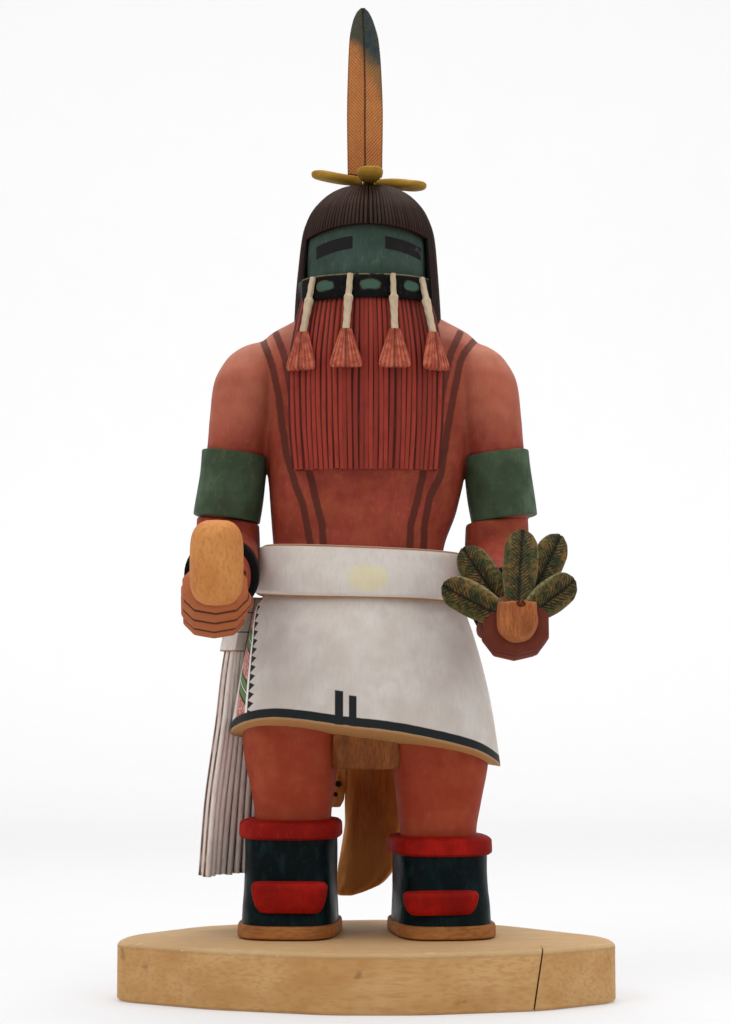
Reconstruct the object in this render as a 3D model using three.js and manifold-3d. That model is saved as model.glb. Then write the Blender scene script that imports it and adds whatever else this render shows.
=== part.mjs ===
// A carved and painted wooden kachina doll of the long-haired kind, standing on a slab of bare wood.
// Millimetres, +Z up. The doll faces -Y, so its right hand is at -X, and the origin is the centre of the slab's underside.

import * as THREE from "three";
import { mergeVertices } from "three/addons/utils/BufferGeometryUtils.js";
import Module from "manifold-3d";

// The slab
const BASE_WIDTH = 154;
const BASE_DEPTH = 90;
const BASE_THICKNESS = 18.5;
const BASE_CORNER = 6; // radius that rounds each corner of the outline
const BASE_WORN_EDGE = 1.2;
const CRACK_WIDTH = 0.7;
const CRACK_DEPTH = 13;

// The doll, from the soles to the paddles on its crown. Its carving is drawn on a grid of 246 squares
// over that height, so at the real height a square is one millimetre.
const FIGURE_HEIGHT = 246;
const grid = FIGURE_HEIGHT / 246;

// The flutes of the hair, the beard and the sash
const HAIR_LOCKS = 24;
const BEARD_LOCKS = 15;
const BACK_LOCKS = 12;
const LOCK_CUT = 0.8;
const SASH_CORDS = 8;
const CORD_CUT = 1;

// The pieces that are glued on
const SEAM = 0.3; // glue line between a piece and what carries it
const FEATHER_LENGTH = 61;
const FEATHER_WIDTH = 12;
const FEATHER_THICKNESS = 2.6;
const QUILL_WIDTH = 3.4; // the feather stands on its quill, between the paddles
const PETAL_LENGTH = 17;
const PETAL_WIDTH = 8.6;
const PETAL_THICKNESS = 3.2;
const STRING_WIDTH = 2.6;
const STRING_THICKNESS = 1.8;
const DOWN_LENGTH = 12.4; // the red feather at a string's end
const DOWN_WIDTH = 10.2;
const DOWN_THICKNESS = 3;
const RATTLE_WIDTH = 16.3;
const RATTLE_HEIGHT = 26;
const RATTLE_DEPTH = 18;
const HANDLE_RADIUS = 2.6;
const STEM_RADIUS = 6.2;
const STEM_LENGTH = 20;
const LEAF_LENGTH = 27;
const LEAF_WIDTH = 11;
const LEAF_THICKNESS = 4.6;
const SASH_WIDTH = 35;
const SASH_THICKNESS = 4.4;
const FOX_WIDTH = 23;
const FOX_THICKNESS = 7;

const FINEST = 0.02; // shorter edges than this are closed up where surfaces meet

const wasm = await Module();
wasm.setup();

// A closed geometry as a solid, for joining and cutting.
function solid(geometry) {
  const bare = geometry.clone();
  bare.deleteAttribute("normal");
  bare.deleteAttribute("uv");
  const merged = mergeVertices(bare, 1e-4);
  return new wasm.Manifold(
    new wasm.Mesh({
      numProp: 3,
      vertProperties: merged.getAttribute("position").array,
      triVerts: new Uint32Array(merged.index.array),
      tolerance: FINEST,
    }),
  );
}

function join(...geometries) {
  return geometries.map(solid).reduce((whole, piece) => whole.add(piece));
}

function toGeometry(manifold) {
  const mesh = manifold.getMesh();
  const geometry = new THREE.BufferGeometry()
    .setAttribute("position", new THREE.BufferAttribute(mesh.vertProperties, 3))
    .setIndex(new THREE.BufferAttribute(mesh.triVerts, 1));
  geometry.computeVertexNormals();
  return geometry;
}

// Moves every vertex of a geometry by a function of its place.
function reshape(geometry, move) {
  const position = geometry.getAttribute("position");
  const point = new THREE.Vector3();
  for (let i = 0; i < position.count; i++) {
    point.fromBufferAttribute(position, i);
    move(point);
    position.setXYZ(i, point.x, point.y, point.z);
  }
  return geometry;
}

// A smooth curve through rows of [place, value, value ...], as a function of the place.
function curveThrough(rows) {
  const places = rows.map((row) => row[0]);
  const values = rows.flatMap((row) => row.slice(1));
  const curve = new THREE.CubicInterpolant(places, values, rows[0].length - 1);
  return (place) => Array.from(curve.evaluate(place));
}

const signedPower = (value, power) =>
  Math.sign(value) * Math.abs(value) ** power;

// Where a turn begins and ends its vertices have to meet exactly.
const toMillionth = (angle) => Math.round(angle * 1e6) / 1e6;

// A form carved along +Z: each row is [height, centre x, centre y, half-width, half-depth], in grid squares.
// The angle runs from 0 at the front (-Y) through a quarter turn at +X. square is 2 for an ellipse and more for a
// squarer section, relief adds to the radius and lift to the height, crowd below 1 draws the rings towards the top,
// and grow thickens the whole form in millimetres.
function carve(
  rows,
  {
    sides = 20,
    rings = 8,
    square = 2.3,
    crowd = 1,
    relief,
    lift,
    grow = 0,
  } = {},
) {
  const section = curveThrough(rows);
  const low = rows[0][0];
  const high = rows[rows.length - 1][0];
  const drum = new THREE.CylinderGeometry(1, 1, 1, sides, rings);
  return reshape(drum, (point) => {
    const angle = toMillionth(Math.atan2(point.x, point.z));
    const reach = Math.hypot(point.x, point.z);
    const share = (point.y + 0.5) ** crowd;
    const height = low + (high - low) * share;
    const [x, y, width, depth] = section(height);
    const extra = relief ? relief(angle, share) : 0;
    const rise = lift ? lift(angle, share) * reach : 0;
    const across = signedPower(Math.sin(angle), 2 / square) * reach;
    const forward = signedPower(Math.cos(angle), 2 / square) * reach;
    point.set(
      x * grid + across * ((width + extra) * grid + grow),
      y * grid - forward * ((depth + extra) * grid + grow),
      (height + rise) * grid + (2 * share - 1) * grow,
    );
  });
}

// Alternate vertices lie in and out, so that an even number of sides becomes flutes.
const flutes = (count, cut) => (angle) =>
  -cut * 0.5 * (1 - Math.cos(angle * count));

// The outline of a slab whose front, and back if asked, is cut into locks: a valley and a crest for each.
function lockOutline(width, thickness, locks, cut, bothFaces) {
  const shape = new THREE.Shape();
  const pitch = width / locks;
  shape.moveTo(-width / 2, 0);
  for (let i = 0; i < locks; i++) {
    const left = -width / 2 + i * pitch;
    shape.lineTo(left + pitch / 2, -thickness / 2);
    if (i < locks - 1) shape.lineTo(left + pitch, -thickness / 2 + cut);
  }
  shape.lineTo(width / 2, 0);
  for (let i = locks - 1; i >= 0; i--) {
    const left = -width / 2 + i * pitch;
    if (bothFaces || i === locks - 1 || i === 0)
      shape.lineTo(left + pitch / 2, thickness / 2);
    if (bothFaces && i > 0) shape.lineTo(left, thickness / 2 - cut);
  }
  return shape;
}

// A slab of locks that stands from low to high. bend moves its points.
function lockSlab({
  width,
  thickness,
  locks,
  cut,
  low,
  high,
  steps = 3,
  bothFaces = false,
  bend,
}) {
  const slab = new THREE.ExtrudeGeometry(
    lockOutline(width, thickness, locks, cut, bothFaces),
    { depth: high - low, steps, bevelEnabled: false },
  ).translate(0, 0, low);
  return reshape(slab, bend);
}

// The slab of wood

function roundedPolygon(corners, radius) {
  const shape = new THREE.Shape();
  corners.forEach((corner, i) => {
    const before = corners[(i + corners.length - 1) % corners.length];
    const after = corners[(i + 1) % corners.length];
    const near = (other) => {
      const reach = Math.min(radius, corner.distanceTo(other) / 2.2);
      return corner.clone().lerp(other, reach / corner.distanceTo(other));
    };
    const start = near(before);
    const end = near(after);
    if (i === 0) shape.moveTo(start.x, start.y);
    else shape.lineTo(start.x, start.y);
    shape.quadraticCurveTo(corner.x, corner.y, end.x, end.y);
  });
  shape.closePath();
  return shape;
}

// The slab's corners as shares of its half-width and half-depth, from the left tip round the front.
const BASE_CORNERS = [
  [-1.02, -0.38],
  [-0.62, -0.76],
  [-0.14, -1.01],
  [0.22, -1.01],
  [0.7, -0.82],
  [1.02, -0.45],
  [1.0, -0.08],
  [0.6, 0.64],
  [0.1, 1.02],
  [-0.26, 0.94],
  [-0.72, 0.56],
  [-0.99, 0.02],
];

function baseGeometry() {
  const inset = 1 - (2 * BASE_WORN_EDGE) / BASE_DEPTH;
  const corners = BASE_CORNERS.map(
    ([x, y]) =>
      new THREE.Vector2(
        (x * inset * BASE_WIDTH) / 2,
        (y * inset * BASE_DEPTH) / 2,
      ),
  );
  const slab = new THREE.ExtrudeGeometry(roundedPolygon(corners, BASE_CORNER), {
    depth: BASE_THICKNESS - 2 * BASE_WORN_EDGE,
    bevelThickness: BASE_WORN_EDGE,
    bevelSize: BASE_WORN_EDGE,
    bevelSegments: 1,
    curveSegments: 2,
  }).translate(0, 0, BASE_WORN_EDGE);
  return toGeometry(solid(slab).subtract(solid(crackWedge())));
}

// The drying crack runs up the front face at the right, and leans a little.
function crackWedge() {
  const frontX = 0.66 * (BASE_WIDTH / 2);
  const frontY = -0.84 * (BASE_DEPTH / 2);
  const outside = 4;
  const wedge = new THREE.Shape();
  wedge.moveTo(-CRACK_WIDTH / 2, -outside);
  wedge.lineTo(CRACK_WIDTH / 2, -outside);
  wedge.lineTo(0, CRACK_DEPTH);
  const lean = 3 / BASE_THICKNESS;
  const cut = new THREE.ExtrudeGeometry(wedge, {
    depth: BASE_THICKNESS + 2 * outside,
    bevelEnabled: false,
  }).translate(frontX, frontY, -outside);
  return reshape(cut, (point) => {
    point.x += point.z * lean;
  });
}

// The figure: one carving. side is -1 for its right (-X) and 1 for its left.

const LEGS = {
  right: { side: -1, x: 24.2, cuffTop: 36.4, turn: 4, flap: { x: 1.7, z: 8.4, height: 9.6 } },
  left: { side: 1, x: 24.3, cuffTop: 31.2, turn: 8, flap: { x: -3.4, z: 7.8, height: 7.2 } },
};
const SOLE = 4;
const BOOT_Y = 6;

function bootGeometries({ side, x, cuffTop, turn, flap }, grow) {
  const cuffLow = cuffTop - 6;
  const sole = carve(
    [
      [0, 0, 0, 15.9, 22.6],
      [0.6, 0, 0, 16.3, 23],
      [SOLE, 0, 0, 16.1, 22.6],
    ],
    { sides: 14, rings: 2, square: 3.4, grow },
  );
  const upper = carve(
    [
      [SOLE - 1, 0, 0.3, 15.2, 21.2],
      [9, 0, 0.8, 15, 20.2],
      [15, 0, 1.6, 14.7, 18.6],
      [cuffLow + 1, 0, 2.2, 14.6, 17],
    ],
    { sides: 14, rings: 2, square: 3, grow },
  );
  const cuff = carve(
    [
      [cuffLow, 0, 2.2, 15.4, 17.6],
      [cuffLow + 0.8, 0, 2.2, 16.5, 18.4],
      [cuffTop - 1.6, 0, 2.2, 16.4, 18.2],
      [cuffTop, 0, 2.2, 13.4, 15],
    ],
    { sides: 14, rings: 3, square: 2.8, grow },
  );
  const flapGeometry = carve(
    [
      [0, 0, 0, 9.4, 2.2],
      [flap.height * 0.25, 0, 0, 11, 2.6],
      [flap.height * 0.85, 0, 0, 12, 2.4],
      [flap.height, 0, 0, 11.2, 1.6],
    ],
    { sides: 8, rings: 2, square: 4, grow },
  )
    .rotateX(THREE.MathUtils.degToRad(12))
    .translate(flap.x * grid, -18.6 * grid, flap.z * grid);
  const outward = THREE.MathUtils.degToRad(turn) * side;
  return [sole, upper, cuff, flapGeometry].map((geometry) =>
    geometry.rotateZ(outward).translate(side * x * grid, BOOT_Y * grid, 0),
  );
}

function legGeometry({ side, x, cuffTop }, grow) {
  return carve(
    [
      [cuffTop - 10, side * (x - 0.7), 8.5, 12.2, 13],
      [cuffTop + 1, side * (x - 0.7), 8.5, 12.4, 13],
      [cuffTop + 10, side * (x - 0.5), 8.5, 13.7, 14],
      [cuffTop + 24, side * x, 8.5, 15.7, 15.5],
      [cuffTop + 48, side * (x - 2), 9, 17, 18],
    ],
    { sides: 12, rings: 3, square: 2.7, grow },
  );
}

// The block of bare wood that was left between the thighs
function crotchGeometry(grow) {
  return carve(
    [
      [52.5, 0.5, 9, 11, 12],
      [80, 0.5, 9, 12, 16],
    ],
    { sides: 8, rings: 1, square: 6, grow },
  );
}

// How high the hem hangs, by the turn round the kilt in degrees
const hemHeight = curveThrough([
  [-225, 54.5],
  [-180, 57.5],
  [-135, 59],
  [-90, 63.5],
  [-38, 68.6],
  [0, 65.5],
  [45, 59.3],
  [90, 53],
  [135, 54],
  [180, 57.5],
  [225, 59],
]);
const HEM_MEAN = 61;

function kiltGeometry(grow) {
  return carve(
    [
      [HEM_MEAN, 0.1, 9, 44.1, 30.5],
      [78, -0.2, 9, 41.2, 29],
      [92, -0.5, 9, 37.6, 26.6],
      [106, -1.2, 9.3, 33, 22.8],
      [112, -1.2, 9.3, 29, 19],
    ],
    {
      sides: 26,
      rings: 2,
      square: 2.25,
      grow,
      lift: (angle, share) =>
        (hemHeight(THREE.MathUtils.radToDeg(angle))[0] - HEM_MEAN) *
        (1 - share) ** 1.5,
    },
  );
}

function beltGeometry(grow) {
  const tilt = THREE.MathUtils.degToRad(2.4);
  return carve(
    [
      [107, -6.3, 9.4, 33.6, 24],
      [108.5, -6.3, 9.4, 35, 25],
      [112, -6.3, 9.4, 34.9, 25],
      [118, -6.3, 9.4, 34.3, 24],
      [122.4, -6.3, 9.4, 33.6, 22.8],
      [123.6, -6.3, 9.4, 31.8, 21],
    ],
    { sides: 24, rings: 3, square: 2.4, grow },
  ).rotateY(tilt);
}

function torsoGeometries(grow) {
  const trunk = carve(
    [
      [118, -2.4, 9.5, 27.2, 19.5],
      [124.5, -2.2, 9.5, 28, 19.5],
      [136.5, -0.6, 9, 30.6, 20],
      [157.5, 0.8, 9, 33.4, 21],
      [172, 1, 9, 34.5, 21],
      [183, 1, 9, 36.5, 19.5],
      [190, 1.3, 9.3, 36.8, 17.5],
      [194.5, 1.4, 9.5, 33.4, 15.5],
      [198.5, 1.4, 9.5, 26.5, 13.5],
      [202, 1.2, 9.5, 20, 12],
    ],
    { sides: 18, rings: 6, square: 2.4, crowd: 0.7, grow },
  );
  const chest = carve(
    [
      [143.5, 0.6, 4, 19, 16.4],
      [148, 0.6, 4, 25.5, 17.6],
      [158, 0.8, 4, 29.6, 18.4],
      [174, 1, 4, 30.6, 18.2],
      [186, 1, 4.4, 30, 16.4],
      [193, 1, 5, 25, 13],
    ],
    { sides: 14, rings: 4, square: 2.4, grow },
  );
  return [trunk, chest];
}

function upperArmGeometries(side, grow) {
  const arm = carve(
    [
      [133.4, side * 44.2, 9, 9.7, 12],
      [145, side * 43.8, 9, 9.7, 12],
      [157, side * 42.4, 9, 9.8, 12.6],
      [167, side * 40.4, 9, 11, 13.6],
      [178.8, side * 38.3, 9, 11.7, 14],
      [186.4, side * 35.4, 9, 10.6, 12],
      [190.6, side * 33, 9, 7.6, 9],
      [192.6, side * 31, 9, 3, 4],
    ],
    { sides: 12, rings: 6, square: 2.3, crowd: 0.55, grow },
  );
  const lean = THREE.MathUtils.degToRad(7.5) * side;
  const band = carve(
    [
      [-10.8, 0.6 * side, 0, 10.9, 13.4],
      [10.8, -0.4 * side, 0, 10.3, 13],
    ],
    { sides: 16, rings: 1, square: 2.4, grow },
  )
    .rotateY(-lean)
    .translate(side * 43.7 * grid, 9 * grid, 144.4 * grid);
  return [arm, band];
}

const HEAD_X = 1;
const FACE_X = 0.4;
const BAND_LOW = 203.4;
const BAND_HIGH = 211.3;
const BAND_END = 1; // how far back it reaches

function maskGeometries(grow) {
  const face = carve(
    [
      [194, FACE_X, 7.6, 20.4, 20.4],
      [204, FACE_X, 7.6, 20.9, 21.2],
      [218, FACE_X, 7.6, 20.9, 21.2],
      [228, FACE_X, 7.8, 19.8, 20.2],
      [233, FACE_X, 8, 17.4, 18],
    ],
    { sides: 16, rings: 3, grow },
  );
  return [face];
}

// The collar band lies over the front edges of the hair and stops at the sides.
function collarSolid(grow) {
  const band = carve(
    [
      [BAND_LOW, FACE_X, 7.3, 23.1, 22.4],
      [BAND_HIGH, FACE_X, 7.3, 22.9, 22.1],
    ],
    { sides: 24, rings: 1, grow },
  );
  const behind = new THREE.BoxGeometry(60, 40, 40).translate(
    0,
    (BAND_END + 20) * grid + grow,
    BAND_LOW * grid,
  );
  return solid(band).subtract(solid(behind));
}

// The hair is a cap of locks that opens in front over the mask and runs smooth at the crown.
const HAIR = [
  [196, 0.7, 8, 24.4, 24],
  [207, 0.7, 8, 23.8, 23.6],
  [217, 0.8, 8, 23, 23.2],
  [227, 0.9, 8, 21.9, 22.4],
  [233.8, 0.9, 8, 19.6, 20.2],
  [239, 1, 8, 15.6, 16.2],
  [242.4, 1, 8, 10.6, 11.2],
  [244.2, 1, 8, 4.6, 5],
];

function hairSolid(grow) {
  const lock = flutes(HAIR_LOCKS, LOCK_CUT);
  const cap = carve(HAIR, {
    sides: 2 * HAIR_LOCKS,
    rings: 5,
    relief: (angle, share) => lock(angle) * (1 - share ** 8),
    grow,
  });
  return solid(cap).subtract(solid(faceWindow()));
}

function faceWindow() {
  const halfWidth = 20.4;
  const fringe = 227.4;
  const arch = new THREE.Shape();
  arch.moveTo(-halfWidth, 190);
  arch.lineTo(halfWidth, 190);
  arch.lineTo(halfWidth, fringe - 1.6);
  arch.quadraticCurveTo(0, fringe + 2.2, -halfWidth, fringe - 1.6);
  const depth = 30;
  return new THREE.ExtrudeGeometry(arch, {
    depth,
    curveSegments: 5,
    bevelEnabled: false,
  })
    .rotateX(Math.PI / 2)
    .translate(FACE_X, 5, 0)
    .scale(grid, grid, grid);
}

const BEARD_LOW = 148;
const BEARD_HIGH = 205;

// The beard's half-width, how far forward its middle lies, and how strongly it wraps round, by height
const beardFall = curveThrough([
  [BEARD_LOW, 23, 9.5, 0.0058],
  [165, 24.3, 9.5, 0.0058],
  [181, 24.6, 9.5, 0.007],
  [195, 22.8, 8.5, 0.014],
  [BEARD_HIGH, 20.6, 7.1, 0.024],
]);

function beardGeometry(grow) {
  const width = 48;
  const thickness = 14;
  return lockSlab({
    width: width * grid + 2 * grow,
    thickness: thickness * grid + 2 * grow,
    locks: BEARD_LOCKS,
    cut: LOCK_CUT * grid,
    low: BEARD_LOW * grid - grow,
    high: BEARD_HIGH * grid + grow,
    bend: (point) => {
      const [half, front, wrap] = beardFall(point.z / grid);
      point.x *= half / (width / 2);
      point.y += (wrap * point.x * point.x) / grid - front * grid;
      point.x += 0.2 * grid;
    },
  });
}

// The locks that hang down the back
function backHairGeometry(grow) {
  return lockSlab({
    width: 47 * grid + 2 * grow,
    thickness: 10 * grid + 2 * grow,
    locks: BACK_LOCKS,
    cut: LOCK_CUT * grid,
    low: 152 * grid - grow,
    high: 206 * grid + grow,
    bend: (point) => {
      point.x = -point.x + 0.9 * grid;
      point.y = 25.2 * grid - point.y - (0.006 * point.x * point.x) / grid;
    },
  });
}

// grow gives the same figure, thicker by that much, as a cutter for what is fitted to it.
function figureSolid(grow = 0) {
  const round = Object.values(LEGS).flatMap((leg) => [
    ...bootGeometries(leg, grow),
    legGeometry(leg, grow),
  ]);
  return join(
    ...round,
    crotchGeometry(grow),
    kiltGeometry(grow),
    beltGeometry(grow),
    ...torsoGeometries(grow),
    ...upperArmGeometries(-1, grow),
    ...upperArmGeometries(1, grow),
    ...maskGeometries(grow),
    beardGeometry(grow),
    backHairGeometry(grow),
  )
    .add(hairSolid(grow))
    .add(collarSolid(grow));
}

// The hands and what they hold

// Turns a form carved along +Z to run from one place to another, both in grid squares. Its -Y side stays up.
function along(geometry, from, to) {
  const start = new THREE.Vector3(...from).multiplyScalar(grid);
  const way = new THREE.Vector3(...to).multiplyScalar(grid).sub(start);
  const forward = way.clone().normalize();
  const side = new THREE.Vector3(0, 0, 1).cross(forward).normalize();
  const up = forward.clone().cross(side);
  const turn = new THREE.Matrix4().makeBasis(side, up.negate(), forward);
  if (turn.determinant() < 0)
    turn.makeBasis(side.negate(), up, forward);
  return geometry.applyMatrix4(turn).translate(start.x, start.y, start.z);
}

const HANDS = {
  right: {
    side: -1,
    wrist: [-45.2, -22, 113.8],
    fist: [-46.6, -33.5, 105.4],
    lean: 40,
    toe: 0.09,
  },
  left: {
    side: 1,
    wrist: [44.8, -22, 104.5],
    fist: [46, -33.5, 97.2],
    lean: 8,
    toe: 0,
  },
};
const FIST_LENGTH = 17;
const FINGERS = 4;

// The way that a hand's grip points: forwards, up and a little aside
function gripWay({ lean, toe }) {
  const angle = THREE.MathUtils.degToRad(lean);
  return new THREE.Vector3(toe, -Math.cos(angle), Math.sin(angle));
}

// A place on the axis of a hand's grip, so many grid squares in front of the fist's middle
function onGrip(hand, distance) {
  return new THREE.Vector3(...hand.fist)
    .addScaledVector(gripWay(hand), distance)
    .toArray();
}

function fistGeometry(hand) {
  const half = FIST_LENGTH / 2;
  const knuckles = (angle, share) =>
    0.9 * Math.abs(Math.sin(Math.PI * FINGERS * share)) - 0.9;
  const fist = carve(
    [
      [0, 0, 0.6, 8.2, 7.6],
      [2, 0, 0.4, 9.6, 8.9],
      [half, 0, 0, 10.5, 9.6],
      [FIST_LENGTH - 2, 0, 0, 10.1, 9.2],
      [FIST_LENGTH, 0, 0, 8.8, 8],
    ],
    { sides: 10, rings: 2 * FINGERS, square: 2.5, relief: knuckles },
  );
  return along(fist, onGrip(hand, -half), onGrip(hand, half));
}

function thumbGeometry(hand) {
  const thumb = carve(
    [
      [0, 0, 0, 1.4, 1.4],
      [1.6, 0, 0, 3.3, 3],
      [8, 0, 0, 3.6, 3.4],
      [12, 0, 0, 2.8, 2.6],
      [13.4, 0, 0, 1, 1],
    ],
    { sides: 6, rings: 3 },
  );
  const [x, y, z] = hand.fist;
  return along(
    thumb,
    [x - 8.6 * hand.side, y + 7, z - 1],
    [x - 6.9 * hand.side, y - 8, z + 2],
  );
}

function forearmSolid(hand) {
  const { side, wrist } = hand;
  const elbow = [44.2 * side - 1, 9, 122];
  const slant = (angle, share) => 1.2 * side * Math.sin(angle) * share ** 2;
  const crook = carve(
    [
      [110.4, elbow[0], 8, 6, 7],
      [113, elbow[0], 8, 9.2, 10],
      [119, elbow[0], 8.6, 10.6, 11.8],
      [133.3, elbow[0], 9, 10.2, 11.8],
    ],
    { sides: 10, rings: 3, square: 2.4, lift: slant },
  );
  const reach = new THREE.Vector3(...wrist).distanceTo(
    new THREE.Vector3(...elbow),
  );
  const arm = carve(
    [
      [-2, 0, 0, 10.4, 10.6],
      [reach * 0.5, 0, 0, 10.6, 10.4],
      [reach, 0, 0, 9.4, 9.2],
      [reach + 8, 0, 0, 8.6, 8],
    ],
    { sides: 10, rings: 2, square: 2.3 },
  );
  const guard = carve(
    [
      [-6.4, 0, 0, 11.8, 11.8],
      [1.6, 0, 0, 11.6, 11.6],
    ],
    { sides: 12, rings: 1, square: 2.1 },
  );
  const guardPlace = along(guard, wrist, [
    wrist[0],
    wrist[1] - 10,
    wrist[2] - 1.5,
  ]);
  return join(
    crook,
    along(arm, elbow, wrist),
    guardPlace,
    fistGeometry(hand),
    thumbGeometry(hand),
  );
}

const GOURD_REACH = 17.2; // from the fist's middle to the gourd's
const HANDLE_TAIL = 12;

function rattleSolid(grow = 0) {
  const gourd = reshape(new THREE.SphereGeometry(1, 14, 8), (point) => {
    const soft = 0.72;
    point.set(
      signedPower(point.x, soft) * (RATTLE_WIDTH / 2 + grow),
      signedPower(point.z, soft) * (RATTLE_DEPTH / 2 + grow),
      signedPower(-point.y, soft) * (RATTLE_HEIGHT / 2 + grow),
    );
  });
  const place = new THREE.Vector3(...onGrip(HANDS.right, GOURD_REACH));
  place.multiplyScalar(grid);
  gourd.translate(place.x, place.y, place.z);
  return solid(gourd).add(
    solid(rod(HANDS.right, HANDLE_RADIUS + grow, -HANDLE_TAIL, GOURD_REACH)),
  );
}

// A round rod along a hand's grip
function rod(hand, radius, from, to) {
  const [start, end] = [onGrip(hand, from), onGrip(hand, to)];
  const length = (to - from) * grid;
  const round = new THREE.CylinderGeometry(radius, radius, length, 10)
    .rotateX(Math.PI / 2)
    .translate(0, 0, length / 2);
  return along(round, start, end);
}

const STEM_BACK = -6;

function stemSolid(grow = 0) {
  const front = STEM_BACK + STEM_LENGTH / grid;
  const shank = STEM_RADIUS + grow;
  const squareTop = (angle) =>
    Math.abs(angle) < Math.PI / 2
      ? 0.8 * shank * (1 / Math.max(Math.abs(Math.sin(angle)), Math.cos(angle)) - 1)
      : 0;
  const length = front - STEM_BACK;
  const block = carve(
    [
      [0, 0, 0, shank * 0.86, shank * 0.86],
      [length - 2.4, 0, 0, shank, shank],
      [length + 1.2, 0, 0, shank * 0.86, shank * 0.8],
    ],
    { sides: 16, rings: 3, square: 2, relief: squareTop },
  );
  return solid(
    along(block, onGrip(HANDS.left, STEM_BACK), onGrip(HANDS.left, front + 1.2)),
  );
}

const LEAF_LEAN = 20; // degrees back from upright

// How each leaf fans out: degrees from upright, towards +X, its place along the stem, and its share of the length
const LEAVES = [
  { fan: 5, reach: 8.2, turn: 0, size: 1.15 },
  { fan: 26, reach: 3, turn: 20, size: 1.25 },
  { fan: -31, reach: 3.4, turn: -20, size: 1.12 },
  { fan: 51, reach: 7.6, turn: 34, size: 0.86 },
  { fan: -60, reach: 7.6, turn: -34, size: 0.95 },
];

function leafSolid({ fan, reach, turn, size }, grow = 0) {
  const square = 1 / grid;
  const length = LEAF_LENGTH * size * square;
  const half = (LEAF_WIDTH / 2) * square;
  const thick = (LEAF_THICKNESS / 2) * square;
  const midrib = (angle) => -0.7 * Math.abs(Math.cos(angle)) ** 12;
  const leaf = carve(
    [
      [0, 0, 0, half * 0.5, thick * 0.8],
      [length * 0.3, 0, 0, half * 0.8, thick * 0.95],
      [length * 0.6, 0, 0, half, thick],
      [length * 0.82, 0, 0, half * 0.93, thick * 0.95],
      [length * 0.94, 0, 0, half * 0.64, thick * 0.75],
      [length, 0, 0, half * 0.2, thick * 0.4],
    ],
    { sides: 12, rings: 5, crowd: 0.8, relief: midrib, grow },
  );
  const place = new THREE.Vector3(...onGrip(HANDS.left, reach));
  place.multiplyScalar(grid);
  const back = THREE.MathUtils.degToRad(-LEAF_LEAN);
  leaf
    .rotateZ(THREE.MathUtils.degToRad(turn))
    .rotateY(THREE.MathUtils.degToRad(fan))
    .rotateX(back)
    .translate(place.x, place.y, place.z);
  return solid(leaf);
}

// The headdress

const CROWN = [HEAD_X, 8.5, HAIR.at(-1)[0]];

function featherSolid() {
  const square = 1 / grid;
  const half = (FEATHER_WIDTH / 2) * square;
  const thick = (FEATHER_THICKNESS / 2) * square;
  const foot = 1.5 * PETAL_THICKNESS;
  const length = (FEATHER_LENGTH - foot) * square;
  const shaft = (angle) => -0.45 * Math.abs(Math.cos(angle)) ** 20;
  const slant = (angle, share) =>
    -(0.6 + 0.85 * Math.sin(angle)) * (1 - share) ** 12;
  const blade = carve(
    [
      [0, 0, 0, half * 0.96, thick],
      [length * 0.35, 0, 0, half, thick],
      [length * 0.62, -0.1, 0, half * 0.93, thick * 0.95],
      [length * 0.8, -0.3, 0, half * 0.82, thick * 0.85],
      [length * 0.91, -0.6, 0, half * 0.6, thick * 0.75],
      [length * 0.975, -0.7, 0, half * 0.34, thick * 0.6],
      [length, -0.7, 0, half * 0.12, thick * 0.4],
    ],
    { sides: 12, rings: 8, square: 3, relief: shaft, lift: slant },
  ).translate(-1.2 * grid, 0, foot);
  const quill = new THREE.CylinderGeometry(
    QUILL_WIDTH / 2,
    QUILL_WIDTH / 2,
    foot + 1,
    8,
  )
    .rotateX(Math.PI / 2)
    .scale(1, (0.9 * FEATHER_THICKNESS) / QUILL_WIDTH, 1)
    .translate(0, 0, (foot + 1) / 2);
  for (const part of [blade, quill])
    part.translate(CROWN[0] * grid, CROWN[1] * grid, CROWN[2] * grid + SEAM);
  return join(blade, quill);
}

// Each paddle points away from the feather: the turn from the front towards +X, and the rise, in degrees.
const PETALS = {
  petal_front: { turn: 2, rise: 1 },
  petal_right: { turn: -96, rise: 10 },
  petal_left: { turn: 94, rise: -2.5 },
  petal_back: { turn: 178, rise: 2 },
};

function petalGeometry({ turn, rise }) {
  const square = 1 / grid;
  const half = (PETAL_WIDTH / 2) * square;
  const thick = (PETAL_THICKNESS / 2) * square;
  const length = PETAL_LENGTH * square;
  const paddle = carve(
    [
      [0, 0, 0, half * 0.36, thick * 0.96],
      [length * 0.4, 0, 0, half * 0.86, thick],
      [length * 0.75, 0, 0, half, thick * 0.95],
      [length * 0.93, 0, 0, half * 0.72, thick * 0.75],
      [length, 0, 0, half * 0.3, thick * 0.4],
    ],
    { sides: 12, rings: 4, square: 2.6 },
  );
  const start = QUILL_WIDTH / 2 + 2 * SEAM;
  return paddle
    .translate(0, 0, start)
    .rotateX(THREE.MathUtils.degToRad(90 - rise))
    .rotateZ(THREE.MathUtils.degToRad(turn))
    .translate(
      CROWN[0] * grid,
      CROWN[1] * grid,
      CROWN[2] * grid + PETAL_THICKNESS / 2 + SEAM,
    );
}

// Four strings hang from the collar band, each with a red feather. Places are in grid squares.
const BEARD_FEATHERS = [
  { top: [-17, -9.4, 210.8], end: [-20, -13.6, 192.2], spread: 4 },
  { top: [-4.9, -15.7, 211], end: [-6.2, -17.8, 192.6], spread: 0 },
  { top: [8.8, -15.5, 211], end: [9.3, -17.8, 192.6], spread: 0 },
  { top: [18.2, -9, 210.8], end: [21.6, -13.6, 192.2], spread: -6 },
];

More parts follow.
